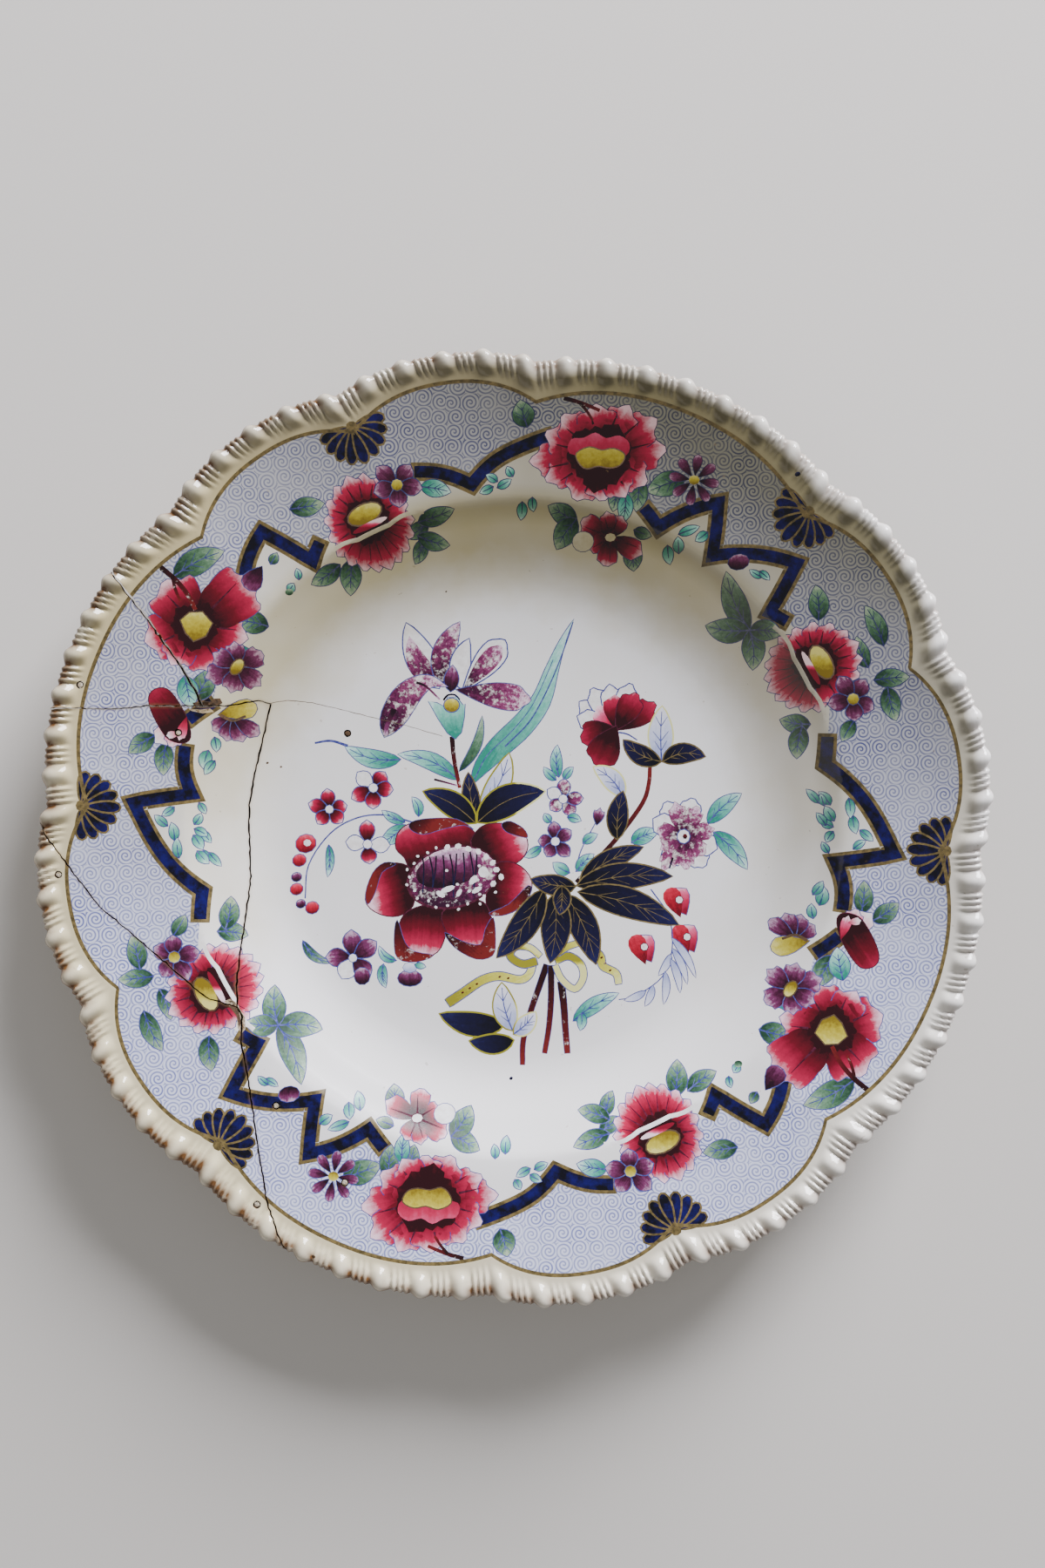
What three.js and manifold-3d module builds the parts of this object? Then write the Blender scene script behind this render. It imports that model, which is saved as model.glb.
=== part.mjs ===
// A cracked and mended dinner plate: four ceramic pieces of one moulded plate, held together from
// behind by wire staples whose ends sit in drilled holes, some of them filled with cement.
// Millimetres, +Z up. The foot ring stands on z = 0 and the plate's axis is the Z axis.
import * as THREE from 'three';
import { toCreasedNormals } from 'three/addons/utils/BufferGeometryUtils.js';
import Module from 'manifold-3d';

// Sizes of the plate
const FLOOR_TOP = 6.0;
const RECESS_Z = 2.0;
const SHOULDER_R = 90.5;
const SHOULDER_Z = 18.5;
const LINE_R = 123.6;
const LINE_INSET = 6.5;
const LINE_Z = 22.4;
const EDGE_R = 132.0;
const EDGE_INSET = 3.2;
const BEAD_Z = 24.6;
const FOOT_OUT_R = 68.3;
const FOOT_IN_R = 64.7;
const RIM_UNDER_Z = 13.8;
const BUMP_R = 0.45;
const BUMP_Z = 0.4;
const STEPS = 144;
const STEP_DEG = 360 / STEPS;

// The edge is twelve lobes that meet in points: five groups of moulding, five, then eight, four times.
const FIRST_POINT_DEG = -3;
const LOBE_DEGS = [25, 25, 40];
const QUARTER_DEG = 90;

// Sizes of the mending
const KERF = 0.3;
const HOLE_R = 1.1;
const PLUG_R = 0.8;
const LEG_R = 0.75;
const LEG_DEPTH = 2.0;
const BLIND_DEPTH = 2.35;
const BAR_WIDTH = 1.7;
const BAR_DEPTH = 1.05;
const BAR_GAP = 0.3;
const CHIP_DEPTH = 0.8;

// Each station of the section: radius in mid-lobe, how much less at a lobe's point, height,
// and how far the moulded bumps push it out and up.
const TOP = [
  [62.0, 0, FLOOR_TOP, 0, 0],
  [70.0, 0, 7.2, 0, 0],
  [78.0, 0, 10.5, 0, 0],
  [85.0, 0, 15.0, 0, 0],
  [SHOULDER_R, 0, SHOULDER_Z, 0, 0],
  [107.0, 1.2, 20.5, 0, 0],
  [LINE_R, LINE_INSET, LINE_Z, 0, 0],
  [126.4, 5.2, 22.5, 0, 0],
  [128.4, 4.2, 23.7, 0, BUMP_Z * 0.7],
  [130.4, 3.5, BEAD_Z, BUMP_R, BUMP_Z],
  [EDGE_R, EDGE_INSET, 23.4, BUMP_R, BUMP_Z * 0.5],
];
const UNDER = [
  [131.2, EDGE_INSET, 21.4, BUMP_R, 0],
  [127.0, 3.6, 19.2, 0, 0],
  [107.0, 1.2, 16.1, 0, 0],
  [92.5, 0, RIM_UNDER_Z, 0, 0],
  [87.0, 0, 9.8, 0, 0],
  [80.0, 0, 5.4, 0, 0],
  [73.0, 0, 3.3, 0, 0],
  [69.2, 0, 3.0, 0, 0],
  [FOOT_OUT_R, 0, 0, 0, 0],
  [FOOT_IN_R, 0, 0, 0, 0],
  [63.5, 0, 2.6, 0, 0],
  [58.0, 0, RECESS_Z, 0, 0],
];

// Crack paths in plan, from the edge inwards; the last one runs edge to edge of the left side.
const CRACK_A = [[-117, 80], [-108.3, 67.9], [-100.5, 57.6], [-92.4, 46], [-87.1, 37.2], [-85.7, 33.4]];
const CRACK_B = [[-138, 32.2], [-109.8, 32.6], [-99.3, 33.6], [-79.6, 33.5], [-71, 35.3], [-67.8, 34.4]];
const CRACK_C = [
  [-67.8, 34.5], [-69.6, 26.9], [-71.8, 17.5], [-73.7, 7.5], [-74, 0.9], [-73.5, -14.6], [-75.6, -32.8],
  [-76.4, -41.7], [-76.1, -49.4], [-74.9, -51.3], [-74.8, -59.4], [-72.4, -71.3], [-70.1, -86.8],
  [-67.3, -102.1], [-62.6, -114.2], [-58, -127],
];
const CRACK_D = [
  [-137, 9], [-128.9, 1.4], [-122.2, -9.5], [-113.6, -21.2], [-104.2, -29.2], [-91, -40.9], [-84.4, -46.5],
  [-79.4, -48.2], [-76, -49.4],
];
const CHIPS = [
  [[-88.9, 34.6], [-87, 36], [-84.4, 35.3], [-80.2, 34.9], [-83.4, 33.2], [-86.4, 32.6]],
  [[-79.2, -47.7], [-76.8, -47.2], [-75.4, -49], [-73.8, -52.2], [-75, -55.6], [-76.9, -51.6]],
];

// Each staple's two ends in plan, and whether each end's hole comes through to the face.
const STAPLES = {
  staple_upper_crack: [[-102.6, 49.2], false, [-92.6, 56.6], false],
  staple_left_edge: [[-118.4, 39.2], true, [-118.4, 26], false],
  staple_left_inner: [[-92.1, 26.2], true, [-94.3, 39.6], false],
  staple_well_upper: [[-68.1, 21.2], false, [-77.9, 23.9], false],
  staple_well_lower: [[-70.2, -13.2], false, [-81.3, -16.6], false],
  staple_lower_inner: [[-65.2, -76.1], true, [-78.2, -77.2], false],
  staple_lower_long: [[-70.1, -102.7], true, [-46.3, -97.1], true],
  staple_side_edge: [[-124.3, -12.6], true, [-115.5, -7.9], false],
  staple_side_inner: [[-94.3, -29.5], false, [-102.7, -38.9], false],
  staple_hairline: [[-46.7, 26.3], true, [-43.5, 38], false],
};

const wasm = await Module();
wasm.setup();
const { Manifold } = wasm;

const radians = (degrees) => (degrees * Math.PI) / 180;

/** 0 in the middle of a lobe, rising to 1 at the points where it meets its neighbours. */
function pointiness(degrees) {
  let along = (((degrees - FIRST_POINT_DEG) % QUARTER_DEG) + QUARTER_DEG) % QUARTER_DEG;
  for (const width of LOBE_DEGS) {
    if (along <= width) {
      return Math.abs((2 * along) / width - 1) ** 2.4;
    }
    along -= width;
  }
  return 1;
}

/** The plan radius of a station in a direction, without the moulded bumps. */
function stationRadius(station, degrees) {
  return station[0] - station[1] * pointiness(degrees);
}

/** Height of a chain of stations over a point in plan. */
function heightAt(stations, x, y) {
  const degrees = (Math.atan2(y, x) * 180) / Math.PI;
  const r = Math.hypot(x, y);
  const chain = [...stations].sort((a, b) => a[0] - b[0]);
  if (r <= stationRadius(chain[0], degrees)) {
    return chain[0][2];
  }
  for (let i = 1; i < chain.length; i += 1) {
    const inner = stationRadius(chain[i - 1], degrees);
    const outer = stationRadius(chain[i], degrees);
    if (r <= outer) {
      const t = (r - inner) / (outer - inner);
      return chain[i - 1][2] + t * (chain[i][2] - chain[i - 1][2]);
    }
  }
  return chain[chain.length - 1][2];
}

/** A solid from a list of points and triangles. */
function solid(points, triangles) {
  const mesh = new wasm.Mesh({
    numProp: 3,
    vertProperties: new Float32Array(points.flat()),
    triVerts: new Uint32Array(triangles.flat()),
  });
  return new Manifold(mesh);
}

/** The whole plate before it was broken: rings of points joined from the face's centre to the back's. */
function wholePlate() {
  const stations = [...TOP, ...UNDER];
  const points = [[0, 0, FLOOR_TOP]];
  for (const station of stations) {
    for (let i = 0; i < STEPS; i += 1) {
      const degrees = FIRST_POINT_DEG + i * STEP_DEG;
      const bump = i % 2 === 1 ? 1 : -1;
      const r = stationRadius(station, degrees) + bump * station[3];
      const a = radians(degrees);
      points.push([r * Math.cos(a), r * Math.sin(a), station[2] + bump * station[4]]);
    }
  }
  points.push([0, 0, RECESS_Z]);
  const last = points.length - 1;
  const triangles = [];
  for (let i = 0; i < STEPS; i += 1) {
    const j = (i + 1) % STEPS;
    triangles.push([0, 1 + i, 1 + j]);
    for (let ring = 0; ring + 1 < stations.length; ring += 1) {
      const a = 1 + ring * STEPS;
      const b = a + STEPS;
      triangles.push([a + i, b + i, b + j]);
      triangles.push([a + i, b + j, a + j]);
    }
    const end = 1 + (stations.length - 1) * STEPS;
    triangles.push([last, end + j, end + i]);
  }
  return solid(points, triangles);
}

/** A thin upright wall along a crack's path, as deep as the plate. */
function kerfWall(path) {
  const left = [];
  const right = [];
  path.forEach((point, i) => {
    const before = path[Math.max(0, i - 1)];
    const after = path[Math.min(path.length - 1, i + 1)];
    const along = new THREE.Vector2(after[0] - before[0], after[1] - before[1]).normalize();
    const h = KERF / 2;
    left.push([point[0] - along.y * h, point[1] + along.x * h]);
    right.push([point[0] + along.y * h, point[1] - along.x * h]);
  });
  const outline = [...right, ...left.reverse()];
  return Manifold.extrude([outline], 60).translate([0, 0, -20]);
}

/** An upright post with flat sides, from one height to another. */
function post(x, y, r, low, high, sides) {
  return Manifold.cylinder(high - low, r, r, sides).translate([x, y, low]);
}

/** A staple's bar: a strip with a rounded outside that follows the back of the plate. */
function bar(from, to) {
  const pieces = 6;
  const along = new THREE.Vector2(to[0] - from[0], to[1] - from[1]).normalize();
  const side = [-along.y, along.x];
  const over = BAR_WIDTH / 2;
  const start = [from[0] - along.x * over, from[1] - along.y * over];
  const end = [to[0] + along.x * over, to[1] + along.y * over];
  const section = [
    [-0.5, 0],
    [0.5, 0],
    [0.36, 0.7],
    [0, 1],
    [-0.36, 0.7],
  ];
  const points = [];
  for (let i = 0; i <= pieces; i += 1) {
    const t = i / pieces;
    const x = start[0] + t * (end[0] - start[0]);
    const y = start[1] + t * (end[1] - start[1]);
    for (const [across, down] of section) {
      const px = x + side[0] * across * BAR_WIDTH;
      const py = y + side[1] * across * BAR_WIDTH;
      points.push([px, py, heightAt(UNDER, px, py) - BAR_GAP - down * BAR_DEPTH]);
    }
  }
  const n = section.length;
  const triangles = [];
  for (let i = 0; i < pieces; i += 1) {
    for (let k = 0; k < n; k += 1) {
      const a = i * n + k;
      const b = i * n + ((k + 1) % n);
      triangles.push([a, b, b + n]);
      triangles.push([a, b + n, a + n]);
    }
  }
  for (let k = 1; k + 1 < n; k += 1) {
    triangles.push([0, k + 1, k]);
    triangles.push([pieces * n, pieces * n + k, pieces * n + k + 1]);
  }
  const made = solid(points, triangles);
  return made.volume() > 0 ? made : solid(points, triangles.map(([a, b, c]) => [a, c, b]));
}

/** A staple: its bar and the two legs that stand in their holes. */
function staple([from, , to]) {
  let made = bar(from, to);
  for (const [x, y] of [from, to]) {
    const under = heightAt(UNDER, x, y);
    made = made.add(post(x, y, LEG_R, under - BAR_GAP - 0.5, under + LEG_DEPTH, 6));
  }
  return made;
}

const group = new THREE.Group();

/** Adds one closed body to the part under its node name. */
function addNode(name, body, color) {
  const mesh = body.getMesh();
  const geometry = new THREE.BufferGeometry();
  geometry.setAttribute('position', new THREE.BufferAttribute(new Float32Array(mesh.vertProperties), 3));
  geometry.setIndex(new THREE.BufferAttribute(new Uint32Array(mesh.triVerts), 1));
  const node = new THREE.Mesh(toCreasedNormals(geometry, radians(35)), new THREE.MeshStandardMaterial({ color }));
  node.name = name;
  group.add(node);
}

let plate = wholePlate();
for (const path of [CRACK_A, CRACK_B, CRACK_C, CRACK_D]) {
  plate = plate.subtract(kerfWall(path));
}
for (const outline of CHIPS) {
  const [x, y] = outline[0];
  const floor = heightAt(TOP, x, y) - CHIP_DEPTH;
  const turned = THREE.ShapeUtils.area(outline.map(([u, v]) => new THREE.Vector2(u, v))) < 0;
  const ring = turned ? [...outline].reverse() : outline;
  plate = plate.subtract(Manifold.extrude([ring], 12).translate([0, 0, floor]));
}
const plugs = [];
for (const ends of Object.values(STAPLES)) {
  for (const [[x, y], through] of [[ends[0], ends[1]], [ends[2], ends[3]]]) {
    const under = heightAt(UNDER, x, y);
    const over = heightAt(TOP, x, y);
    plate = plate.subtract(post(x, y, HOLE_R, under - 4, through ? over + 4 : under + BLIND_DEPTH, 8));
    if (through) {
      plugs.push(post(x, y, PLUG_R, under + LEG_DEPTH + 0.35, over - 0.1, 8));
    }
  }
}

/** Which piece a broken part of the plate is, from the middle of its box. */
function pieceName(body) {
  const { min, max } = body.boundingBox();
  if (max[0] > 0) {
    return 'main_plate';
  }
  const middle = (min[1] + max[1]) / 2;
  if (middle > 35) {
    return 'upper_left_piece';
  }
  return middle > -12 ? 'left_piece' : 'lower_left_piece';
}

for (const body of plate.decompose()) {
  addNode(pieceName(body), body, 0xddd9cf);
}
for (const [name, ends] of Object.entries(STAPLES)) {
  addNode(name, staple(ends), 0xa68a4a);
}
plugs.forEach((body, i) => addNode(`cement_plug_${i + 1}`, body, 0xcfc4ad));

export default group;
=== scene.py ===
"""A cracked dinner plate with painted flowers, mended from behind with wire staples.

Four glazed pieces of one moulded plate, the staples that hold them and the cement in the drilled
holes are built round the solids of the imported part. Plan positions and sizes are in millimetres
and become metres when a mesh is made; +Z is up and the foot ring stands on z = 0.
"""

import logging
from dataclasses import KW_ONLY, dataclass, field
from enum import Enum
from math import cos, hypot, log, pi, radians, sin
from typing import Callable, Sequence

import bpy
import numpy as np
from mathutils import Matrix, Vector
from mathutils.geometry import delaunay_2d_cdt

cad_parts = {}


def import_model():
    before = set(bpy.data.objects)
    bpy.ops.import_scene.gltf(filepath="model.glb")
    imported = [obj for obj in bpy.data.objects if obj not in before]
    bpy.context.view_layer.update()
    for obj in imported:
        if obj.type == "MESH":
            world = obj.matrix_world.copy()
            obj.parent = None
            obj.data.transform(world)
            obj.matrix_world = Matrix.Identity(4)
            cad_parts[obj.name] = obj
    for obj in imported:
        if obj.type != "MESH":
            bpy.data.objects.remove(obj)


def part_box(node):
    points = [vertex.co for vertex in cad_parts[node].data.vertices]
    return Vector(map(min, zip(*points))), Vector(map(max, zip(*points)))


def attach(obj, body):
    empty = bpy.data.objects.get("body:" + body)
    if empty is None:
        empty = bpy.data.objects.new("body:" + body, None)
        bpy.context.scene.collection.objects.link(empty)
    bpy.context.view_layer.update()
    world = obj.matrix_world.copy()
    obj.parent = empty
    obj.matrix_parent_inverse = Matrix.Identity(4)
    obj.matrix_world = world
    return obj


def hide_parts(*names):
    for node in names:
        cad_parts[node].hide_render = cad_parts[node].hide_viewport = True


LOG = logging.getLogger("plate")
MM = 0.001
Point = tuple[float, float]
Array = np.ndarray
Outline = np.ndarray
Tree = bpy.types.NodeTree


# ---- colour and node helpers


def linear(code: str) -> tuple[float, float, float, float]:
    """Turns an sRGB hex colour into the linear colour that shader sockets take.

    Args:
        code: six hex digits after a hash sign.

    Returns:
        Linear red, green, blue and an alpha of one.
    """
    parts = [int(code[i : i + 2], 16) / 255 for i in (1, 3, 5)]
    return (*[c / 12.92 if c <= 0.04045 else ((c + 0.055) / 1.055) ** 2.4 for c in parts], 1.0)


class Out:
    """One output of a node. Arithmetic on it puts the matching nodes in its tree."""

    def __init__(self, tree: Tree, node: bpy.types.Node, name: int | str = 0) -> None:
        """Takes the node's tree, the node and the socket's name or position."""
        self.tree, self.node, self.name = tree, node, name

    def __getitem__(self, name: int | str) -> "Out":
        """Another output of the same node."""
        return Out(self.tree, self.node, name)

    def do(self, operation: str, *others: "Out | float") -> "Out":
        """The result of a named operation on this output and others."""
        return add(self.tree, "ShaderNodeMath", dict(enumerate((self, *others))), operation=operation)

    def __add__(self, other: "Out | float") -> "Out":
        """This plus another."""
        return self.do("ADD", other)

    def __sub__(self, other: "Out | float") -> "Out":
        """This less another."""
        return self.do("SUBTRACT", other)

    def __rsub__(self, other: float) -> "Out":
        """A number less this."""
        return add(self.tree, "ShaderNodeMath", {0: other, 1: self}, operation="SUBTRACT")

    def __mul__(self, other: "Out | float") -> "Out":
        """This times another."""
        return self.do("MULTIPLY", other)

    def __truediv__(self, other: "Out | float") -> "Out":
        """This divided by another."""
        return self.do("DIVIDE", other)

    def __pow__(self, other: float) -> "Out":
        """This to a power."""
        return self.do("POWER", other)

    def clamp(self) -> "Out":
        """This result held between 0 and 1."""
        self.node.use_clamp = True
        return self


def add(tree: Tree, kind: str, inputs: dict | None = None, **settings: object) -> Out:
    """Adds one node with its settings, socket values and incoming links.

    Args:
        tree: the node tree it goes in.
        kind: the node's type name.
        inputs: for its sockets, by name or position, a value, a hex colour or a node's output.
        settings: the node's own properties.

    Returns:
        The new node's main output.
    """
    node = tree.nodes.new(kind)
    for key, value in settings.items():
        setattr(node, key, value)
    for key, value in (inputs or {}).items():
        if isinstance(value, Out):
            tree.links.new(value.node.outputs[value.name], node.inputs[key])
        else:
            is_colour = isinstance(value, str) and value.startswith("#")
            node.inputs[key].default_value = linear(value) if is_colour else value
    return Out(tree, node, 2 if kind == "ShaderNodeMix" else 0)


# ---- the plate's form


def eased(x: Array, knots: Sequence[Point]) -> Array:
    """Reads a smooth curve through knots that never swings past them.

    Args:
        x: where to read it.
        knots: (position, value) pairs in rising order.

    Returns:
        The curve's values.
    """
    xs, ys = np.array(knots, float).T
    h = np.diff(xs)
    d = np.diff(ys) / h
    m = np.zeros(len(xs))
    m[0], m[-1] = d[0], d[-1]
    same = np.flatnonzero(d[:-1] * d[1:] > 0)
    w1, w2 = 2 * h[1:] + h[:-1], h[1:] + 2 * h[:-1]
    m[same + 1] = (w1 + w2)[same] / (w1[same] / d[same] + w2[same] / d[same + 1])
    i = np.clip(np.searchsorted(xs, x) - 1, 0, len(h) - 1)
    t = np.clip((x - xs[i]) / h[i], 0, 1)
    return (
        (2 * t**3 - 3 * t**2 + 1) * ys[i]
        + (t**3 - 2 * t**2 + t) * h[i] * m[i]
        + (3 * t**2 - 2 * t**3) * ys[i + 1]
        + (t**3 - t**2) * h[i] * m[i + 1]
    )


def compass(plan: Array) -> tuple[Array, Array]:
    """Directions in degrees and distances from the plate's middle."""
    return np.degrees(np.arctan2(plan[:, 1], plan[:, 0])), np.hypot(plan[:, 0], plan[:, 1])


def around(degrees: Array, radius: Array | float) -> Array:
    """Plan positions from directions and distances."""
    a = np.radians(degrees)
    return np.stack([radius * np.cos(a), radius * np.sin(a)], 1)


@dataclass(frozen=True)
class PlateForm:
    """The unbroken plate's surfaces. The face and the back are both read from flat plan positions.

    Past the gilt line the plan radius is stretched, so that the moulded edge can roll over: the
    stretched radius runs on to the outermost line, where face and back meet.
    """

    shoulder_r: float = 90.5
    line_r: float = 123.6
    line_inset: float = 6.5
    line_z: float = 22.4
    edge_r: float = 131.0
    edge_inset: float = 3.2
    roll: float = 2.4
    first_point_deg: float = -3.0
    lobe_degs: tuple[float, ...] = (25.0, 25.0, 40.0)
    well: tuple[Point, ...] = (
        (0, 6.0), (60, 6.0), (65, 6.25), (69, 6.95), (73, 8.3), (77, 10.3), (81, 12.7), (85, 15.1),
        (89.4, 17.85), (90.5, 18.45),
    )
    rim: tuple[Point, ...] = ((0, 18.45), (0.04, 18.75), (0.5, 20.45), (1, 22.4))
    bead_r: tuple[Point, ...] = (
        (0, 0), (0.15, 0.19), (0.3, 0.37), (0.45, 0.54), (0.58, 0.69), (0.7, 0.82), (0.82, 0.92),
        (0.92, 0.98), (1, 1),
    )
    bead_z: tuple[Point, ...] = (
        (0, 0), (0.14, 0.1), (0.3, 0.6), (0.45, 1.2), (0.57, 1.55), (0.68, 1.62), (0.8, 1.35), (0.9, 0.8),
        (1, 0.1),
    )
    under: tuple[Point, ...] = (
        (0, 2.0), (58, 2.0), (62.4, 2.5), (63.8, 2.1), (64.7, 0.55), (65.2, 0.08), (65.7, 0.0), (67.4, 0.0),
        (67.9, 0.1), (68.4, 0.7), (69.2, 2.6), (70.4, 3.1), (73, 3.4), (80, 5.5), (87, 9.9), (91, 12.9),
        (93, 14.1),
    )
    under_rim: tuple[Point, ...] = ((0, 14.1), (0.5, 16.4), (1, 18.9))
    lip_r: tuple[Point, ...] = ((0, 0), (0.4, 0.5), (0.7, 0.83), (0.88, 0.97), (1, 1))
    lip_z: tuple[Point, ...] = ((0, -3.5), (0.4, -2.75), (0.7, -1.95), (0.88, -1.05), (1, 0.1))

    def pointiness(self, degrees: Array) -> Array:
        """0 in the middle of each lobe of the outline, rising to 1 at the points between lobes."""
        along = np.mod(degrees - self.first_point_deg, 90.0)
        out = np.zeros_like(along)
        start = 0.0
        for width in self.lobe_degs:
            here = (along >= start) & (along <= start + width)
            out[here] = np.abs(2 * (along[here] - start) / width - 1) ** 2.4
            start += width
        return out

    def line(self, degrees: Array) -> Array:
        """Plan radius of the gilt line."""
        return self.line_r - self.line_inset * self.pointiness(degrees)

    def edge(self, degrees: Array) -> Array:
        """Plan radius of the outermost line, before the moulding's bumps."""
        return self.edge_r - self.edge_inset * self.pointiness(degrees)

    def limit(self, degrees: Array) -> Array:
        """Stretched radius of the outermost line."""
        return self.edge(degrees) + self.roll

    def moulding_share(self, flat: Array) -> Array:
        """0 at the gilt line to 1 at the outermost line; 0 or less inside the gilt line."""
        degrees, s = compass(flat)
        line = self.line(degrees)
        return (s - line) / (self.limit(degrees) - line)

    def place(self, flat: Array, face: bool) -> Array:
        """Takes flat positions to points on the face or the back.

        Args:
            flat: plan positions, stretched past the gilt line.
            face: True for the decorated face, False for the back.

        Returns:
            The points, in millimetres.
        """
        degrees, s = compass(flat)
        line, edge = self.line(degrees), self.edge(degrees)
        t = np.clip((s - line) / (self.limit(degrees) - line), 0, 1)
        inner_r = self.shoulder_r if face else self.under[-1][0]
        q = np.clip((s - inner_r) / (line - inner_r), 0, 1)
        roll_r, roll_z = (self.bead_r, self.bead_z) if face else (self.lip_r, self.lip_z)
        r = np.where(t > 0, line + (edge - line) * eased(t, roll_r), s)
        rim = eased(q, self.rim if face else self.under_rim)
        well = eased(s, self.well if face else self.under)
        z = np.where(t > 0, self.line_z + eased(t, roll_z), np.where(s < inner_r, well, rim))
        return np.column_stack([around(degrees, r), z])

    def normals(self, flat: Array, face: bool) -> Array:
        """Outward unit normals of the face or the back at flat positions."""
        step = 0.05
        dx = self.place(flat + [step, 0], face) - self.place(flat - [step, 0], face)
        dy = self.place(flat + [0, step], face) - self.place(flat - [0, step], face)
        n = np.cross(dx, dy) * (1 if face else -1)
        return n / np.maximum(np.linalg.norm(n, axis=1, keepdims=True), 1e-9)

    def stretched(self, plan: Array) -> Array:
        """Takes true plan positions to flat positions, stretching those past the gilt line."""
        degrees, r = compass(plan)
        line, edge = self.line(degrees), self.edge(degrees)
        share = (r - line) / (edge - line)
        t = np.linspace(0, 1, 60)
        back = np.interp(np.clip(share, 0, 1), eased(t, self.bead_r), t) + np.clip(share - 1, 0, None)
        return around(degrees, np.where(share > 0, line + back * (self.limit(degrees) - line), r))


FORM = PlateForm()


# ---- flat outlines


def inside(points: Array, outline: Outline) -> Array:
    """Which points lie in a closed outline.

    Args:
        points: plan positions.
        outline: the outline's corners.

    Returns:
        One True or False for each point.
    """
    low, high = outline.min(0), outline.max(0)
    near = np.all((points >= low) & (points <= high), axis=1)
    found = np.zeros(len(points), bool)
    if not near.any():
        return found
    p = points[near]
    odd = np.zeros(len(p), bool)
    for (x0, y0), (x1, y1) in zip(outline, np.roll(outline, -1, axis=0)):
        if y0 == y1:
            continue
        crosses = (y0 > p[:, 1]) != (y1 > p[:, 1])
        odd ^= crosses & (p[:, 0] < (x1 - x0) * (p[:, 1] - y0) / (y1 - y0) + x0)
    found[near] = odd
    return found


def spline(a: Array, b: Array, c: Array, d: Array, per: int) -> list[Array]:
    """Points of a smooth curve from b towards c, whose neighbours are a and d."""
    steps = np.arange(per) / per
    square, cube = 2 * a - 5 * b + 4 * c - d, 3 * b - a - 3 * c + d
    return [0.5 * (2 * b + (c - a) * t + square * t**2 + cube * t**3) for t in steps]


def through(points: Sequence[Point], per: int = 6) -> Array:
    """A smooth open curve through points, with so many steps between two of them."""
    p = np.array(points, float)
    if len(p) < 3:
        return np.linspace(p[0], p[-1], per + 1)
    ends = np.vstack([2 * p[0] - p[1], p, 2 * p[-1] - p[-2]])
    parts = [spline(*four, per) for four in zip(ends, ends[1:], ends[2:], ends[3:])]
    return np.array([*sum(parts, []), p[-1]])


def smooth_ring(points: Sequence[Point], per: int = 3) -> Outline:
    """A smooth closed outline through points."""
    p = np.array(points, float)
    fours = zip(np.roll(p, 1, axis=0), p, np.roll(p, -1, axis=0), np.roll(p, -2, axis=0))
    return np.array(sum((spline(*four, per) for four in fours), []))


def sideways(line: Array) -> Array:
    """Unit left-hand normals along a polyline."""
    d = np.gradient(line, axis=0)
    d /= np.maximum(np.linalg.norm(d, axis=1, keepdims=True), 1e-9)
    return np.stack([-d[:, 1], d[:, 0]], 1)


def corner_stretch(line: Array) -> Array:
    """How much a strip's edges must spread at each corner to keep the strip's width."""
    d = np.diff(line, axis=0)
    d /= np.maximum(np.hypot(d[:, 0], d[:, 1]), 1e-9)[:, None]
    facing = np.ones(len(line))
    facing[1:-1] = np.sum(d[1:] * d[:-1], axis=1)
    return 1 / np.maximum(np.sqrt(np.clip((1 + facing) / 2, 0, 1)), 0.4)


def ring_edges(rings: Sequence[Outline]) -> list[tuple[int, int]]:
    """The edges of closed outlines whose corners are numbered on from one to the next."""
    edges: list[tuple[int, int]] = []
    for ring in rings:
        first, count = len(edges), len(ring)
        edges += [(first + i, first + (i + 1) % count) for i in range(count)]
    return edges


def ribbon(line: Array, widths: float | Array) -> Outline:
    """The outline of a strip of given widths along a polyline."""
    half = sideways(line) * (np.broadcast_to(widths, len(line)) / 2 * corner_stretch(line))[:, None]
    return np.vstack([line + half, (line - half)[::-1]])


def polar(degrees: float, radius: float, middle: Point = (0.0, 0.0)) -> Point:
    """A plan position from a direction and a distance from a middle, the plate's own if none is given."""
    a = radians(degrees)
    return (middle[0] + radius * cos(a), middle[1] + radius * sin(a))


# ---- paints and strokes


class Paint(Enum):
    """What covers a patch of the ware, or a piece of the mending."""

    GLAZE, GROUND, PRINT, EDGE, COBALT, GILT, CRIMSON, ROSE, BLUSH, PLUM, MOTTLE, YELLOW, TEAL = range(13)
    LEAF, NAVY, PALE, RUSSET, BERRY, BOW, WHITE, BODY, STAIN, HOLE, WIRE, CEMENT = range(13, 25)


GLAZE, GROUND, PRINT, EDGE, COBALT, GILT, CRIMSON, ROSE, BLUSH, PLUM, MOTTLE, YELLOW, TEAL = list(Paint)[:13]
LEAF, NAVY, PALE, RUSSET, BERRY, BOW, WHITE, BODY, STAIN, HOLE, WIRE, CEMENT = list(Paint)[13:]


@dataclass(frozen=True)
class Stroke:
    """One patch of paint: its outline and the line along which its colour runs."""

    outline: Outline
    paint: Paint
    start: Point = (0.0, 0.0)
    end: Point = (1.0, 0.0)
    width: float = 1.0

    def run(self, points: Array) -> Array:
        """Coordinates of points across and along the stroke, as the paints read them."""
        a = np.array(self.start, float)
        along = np.array(self.end, float) - a
        length = max(float(np.hypot(*along)), 1e-6)
        along /= length
        across = np.array([-along[1], along[0]])
        d = points - a
        return np.stack([d @ across / self.width + 0.5, d @ along / length], 1)


def turned(points: Sequence[Point] | Array, half_turn: bool) -> Array:
    """Points as given, or turned half round the plate's middle."""
    p = np.array(points, float)
    return -p if half_turn else p


# ---- cracks and holes


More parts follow.
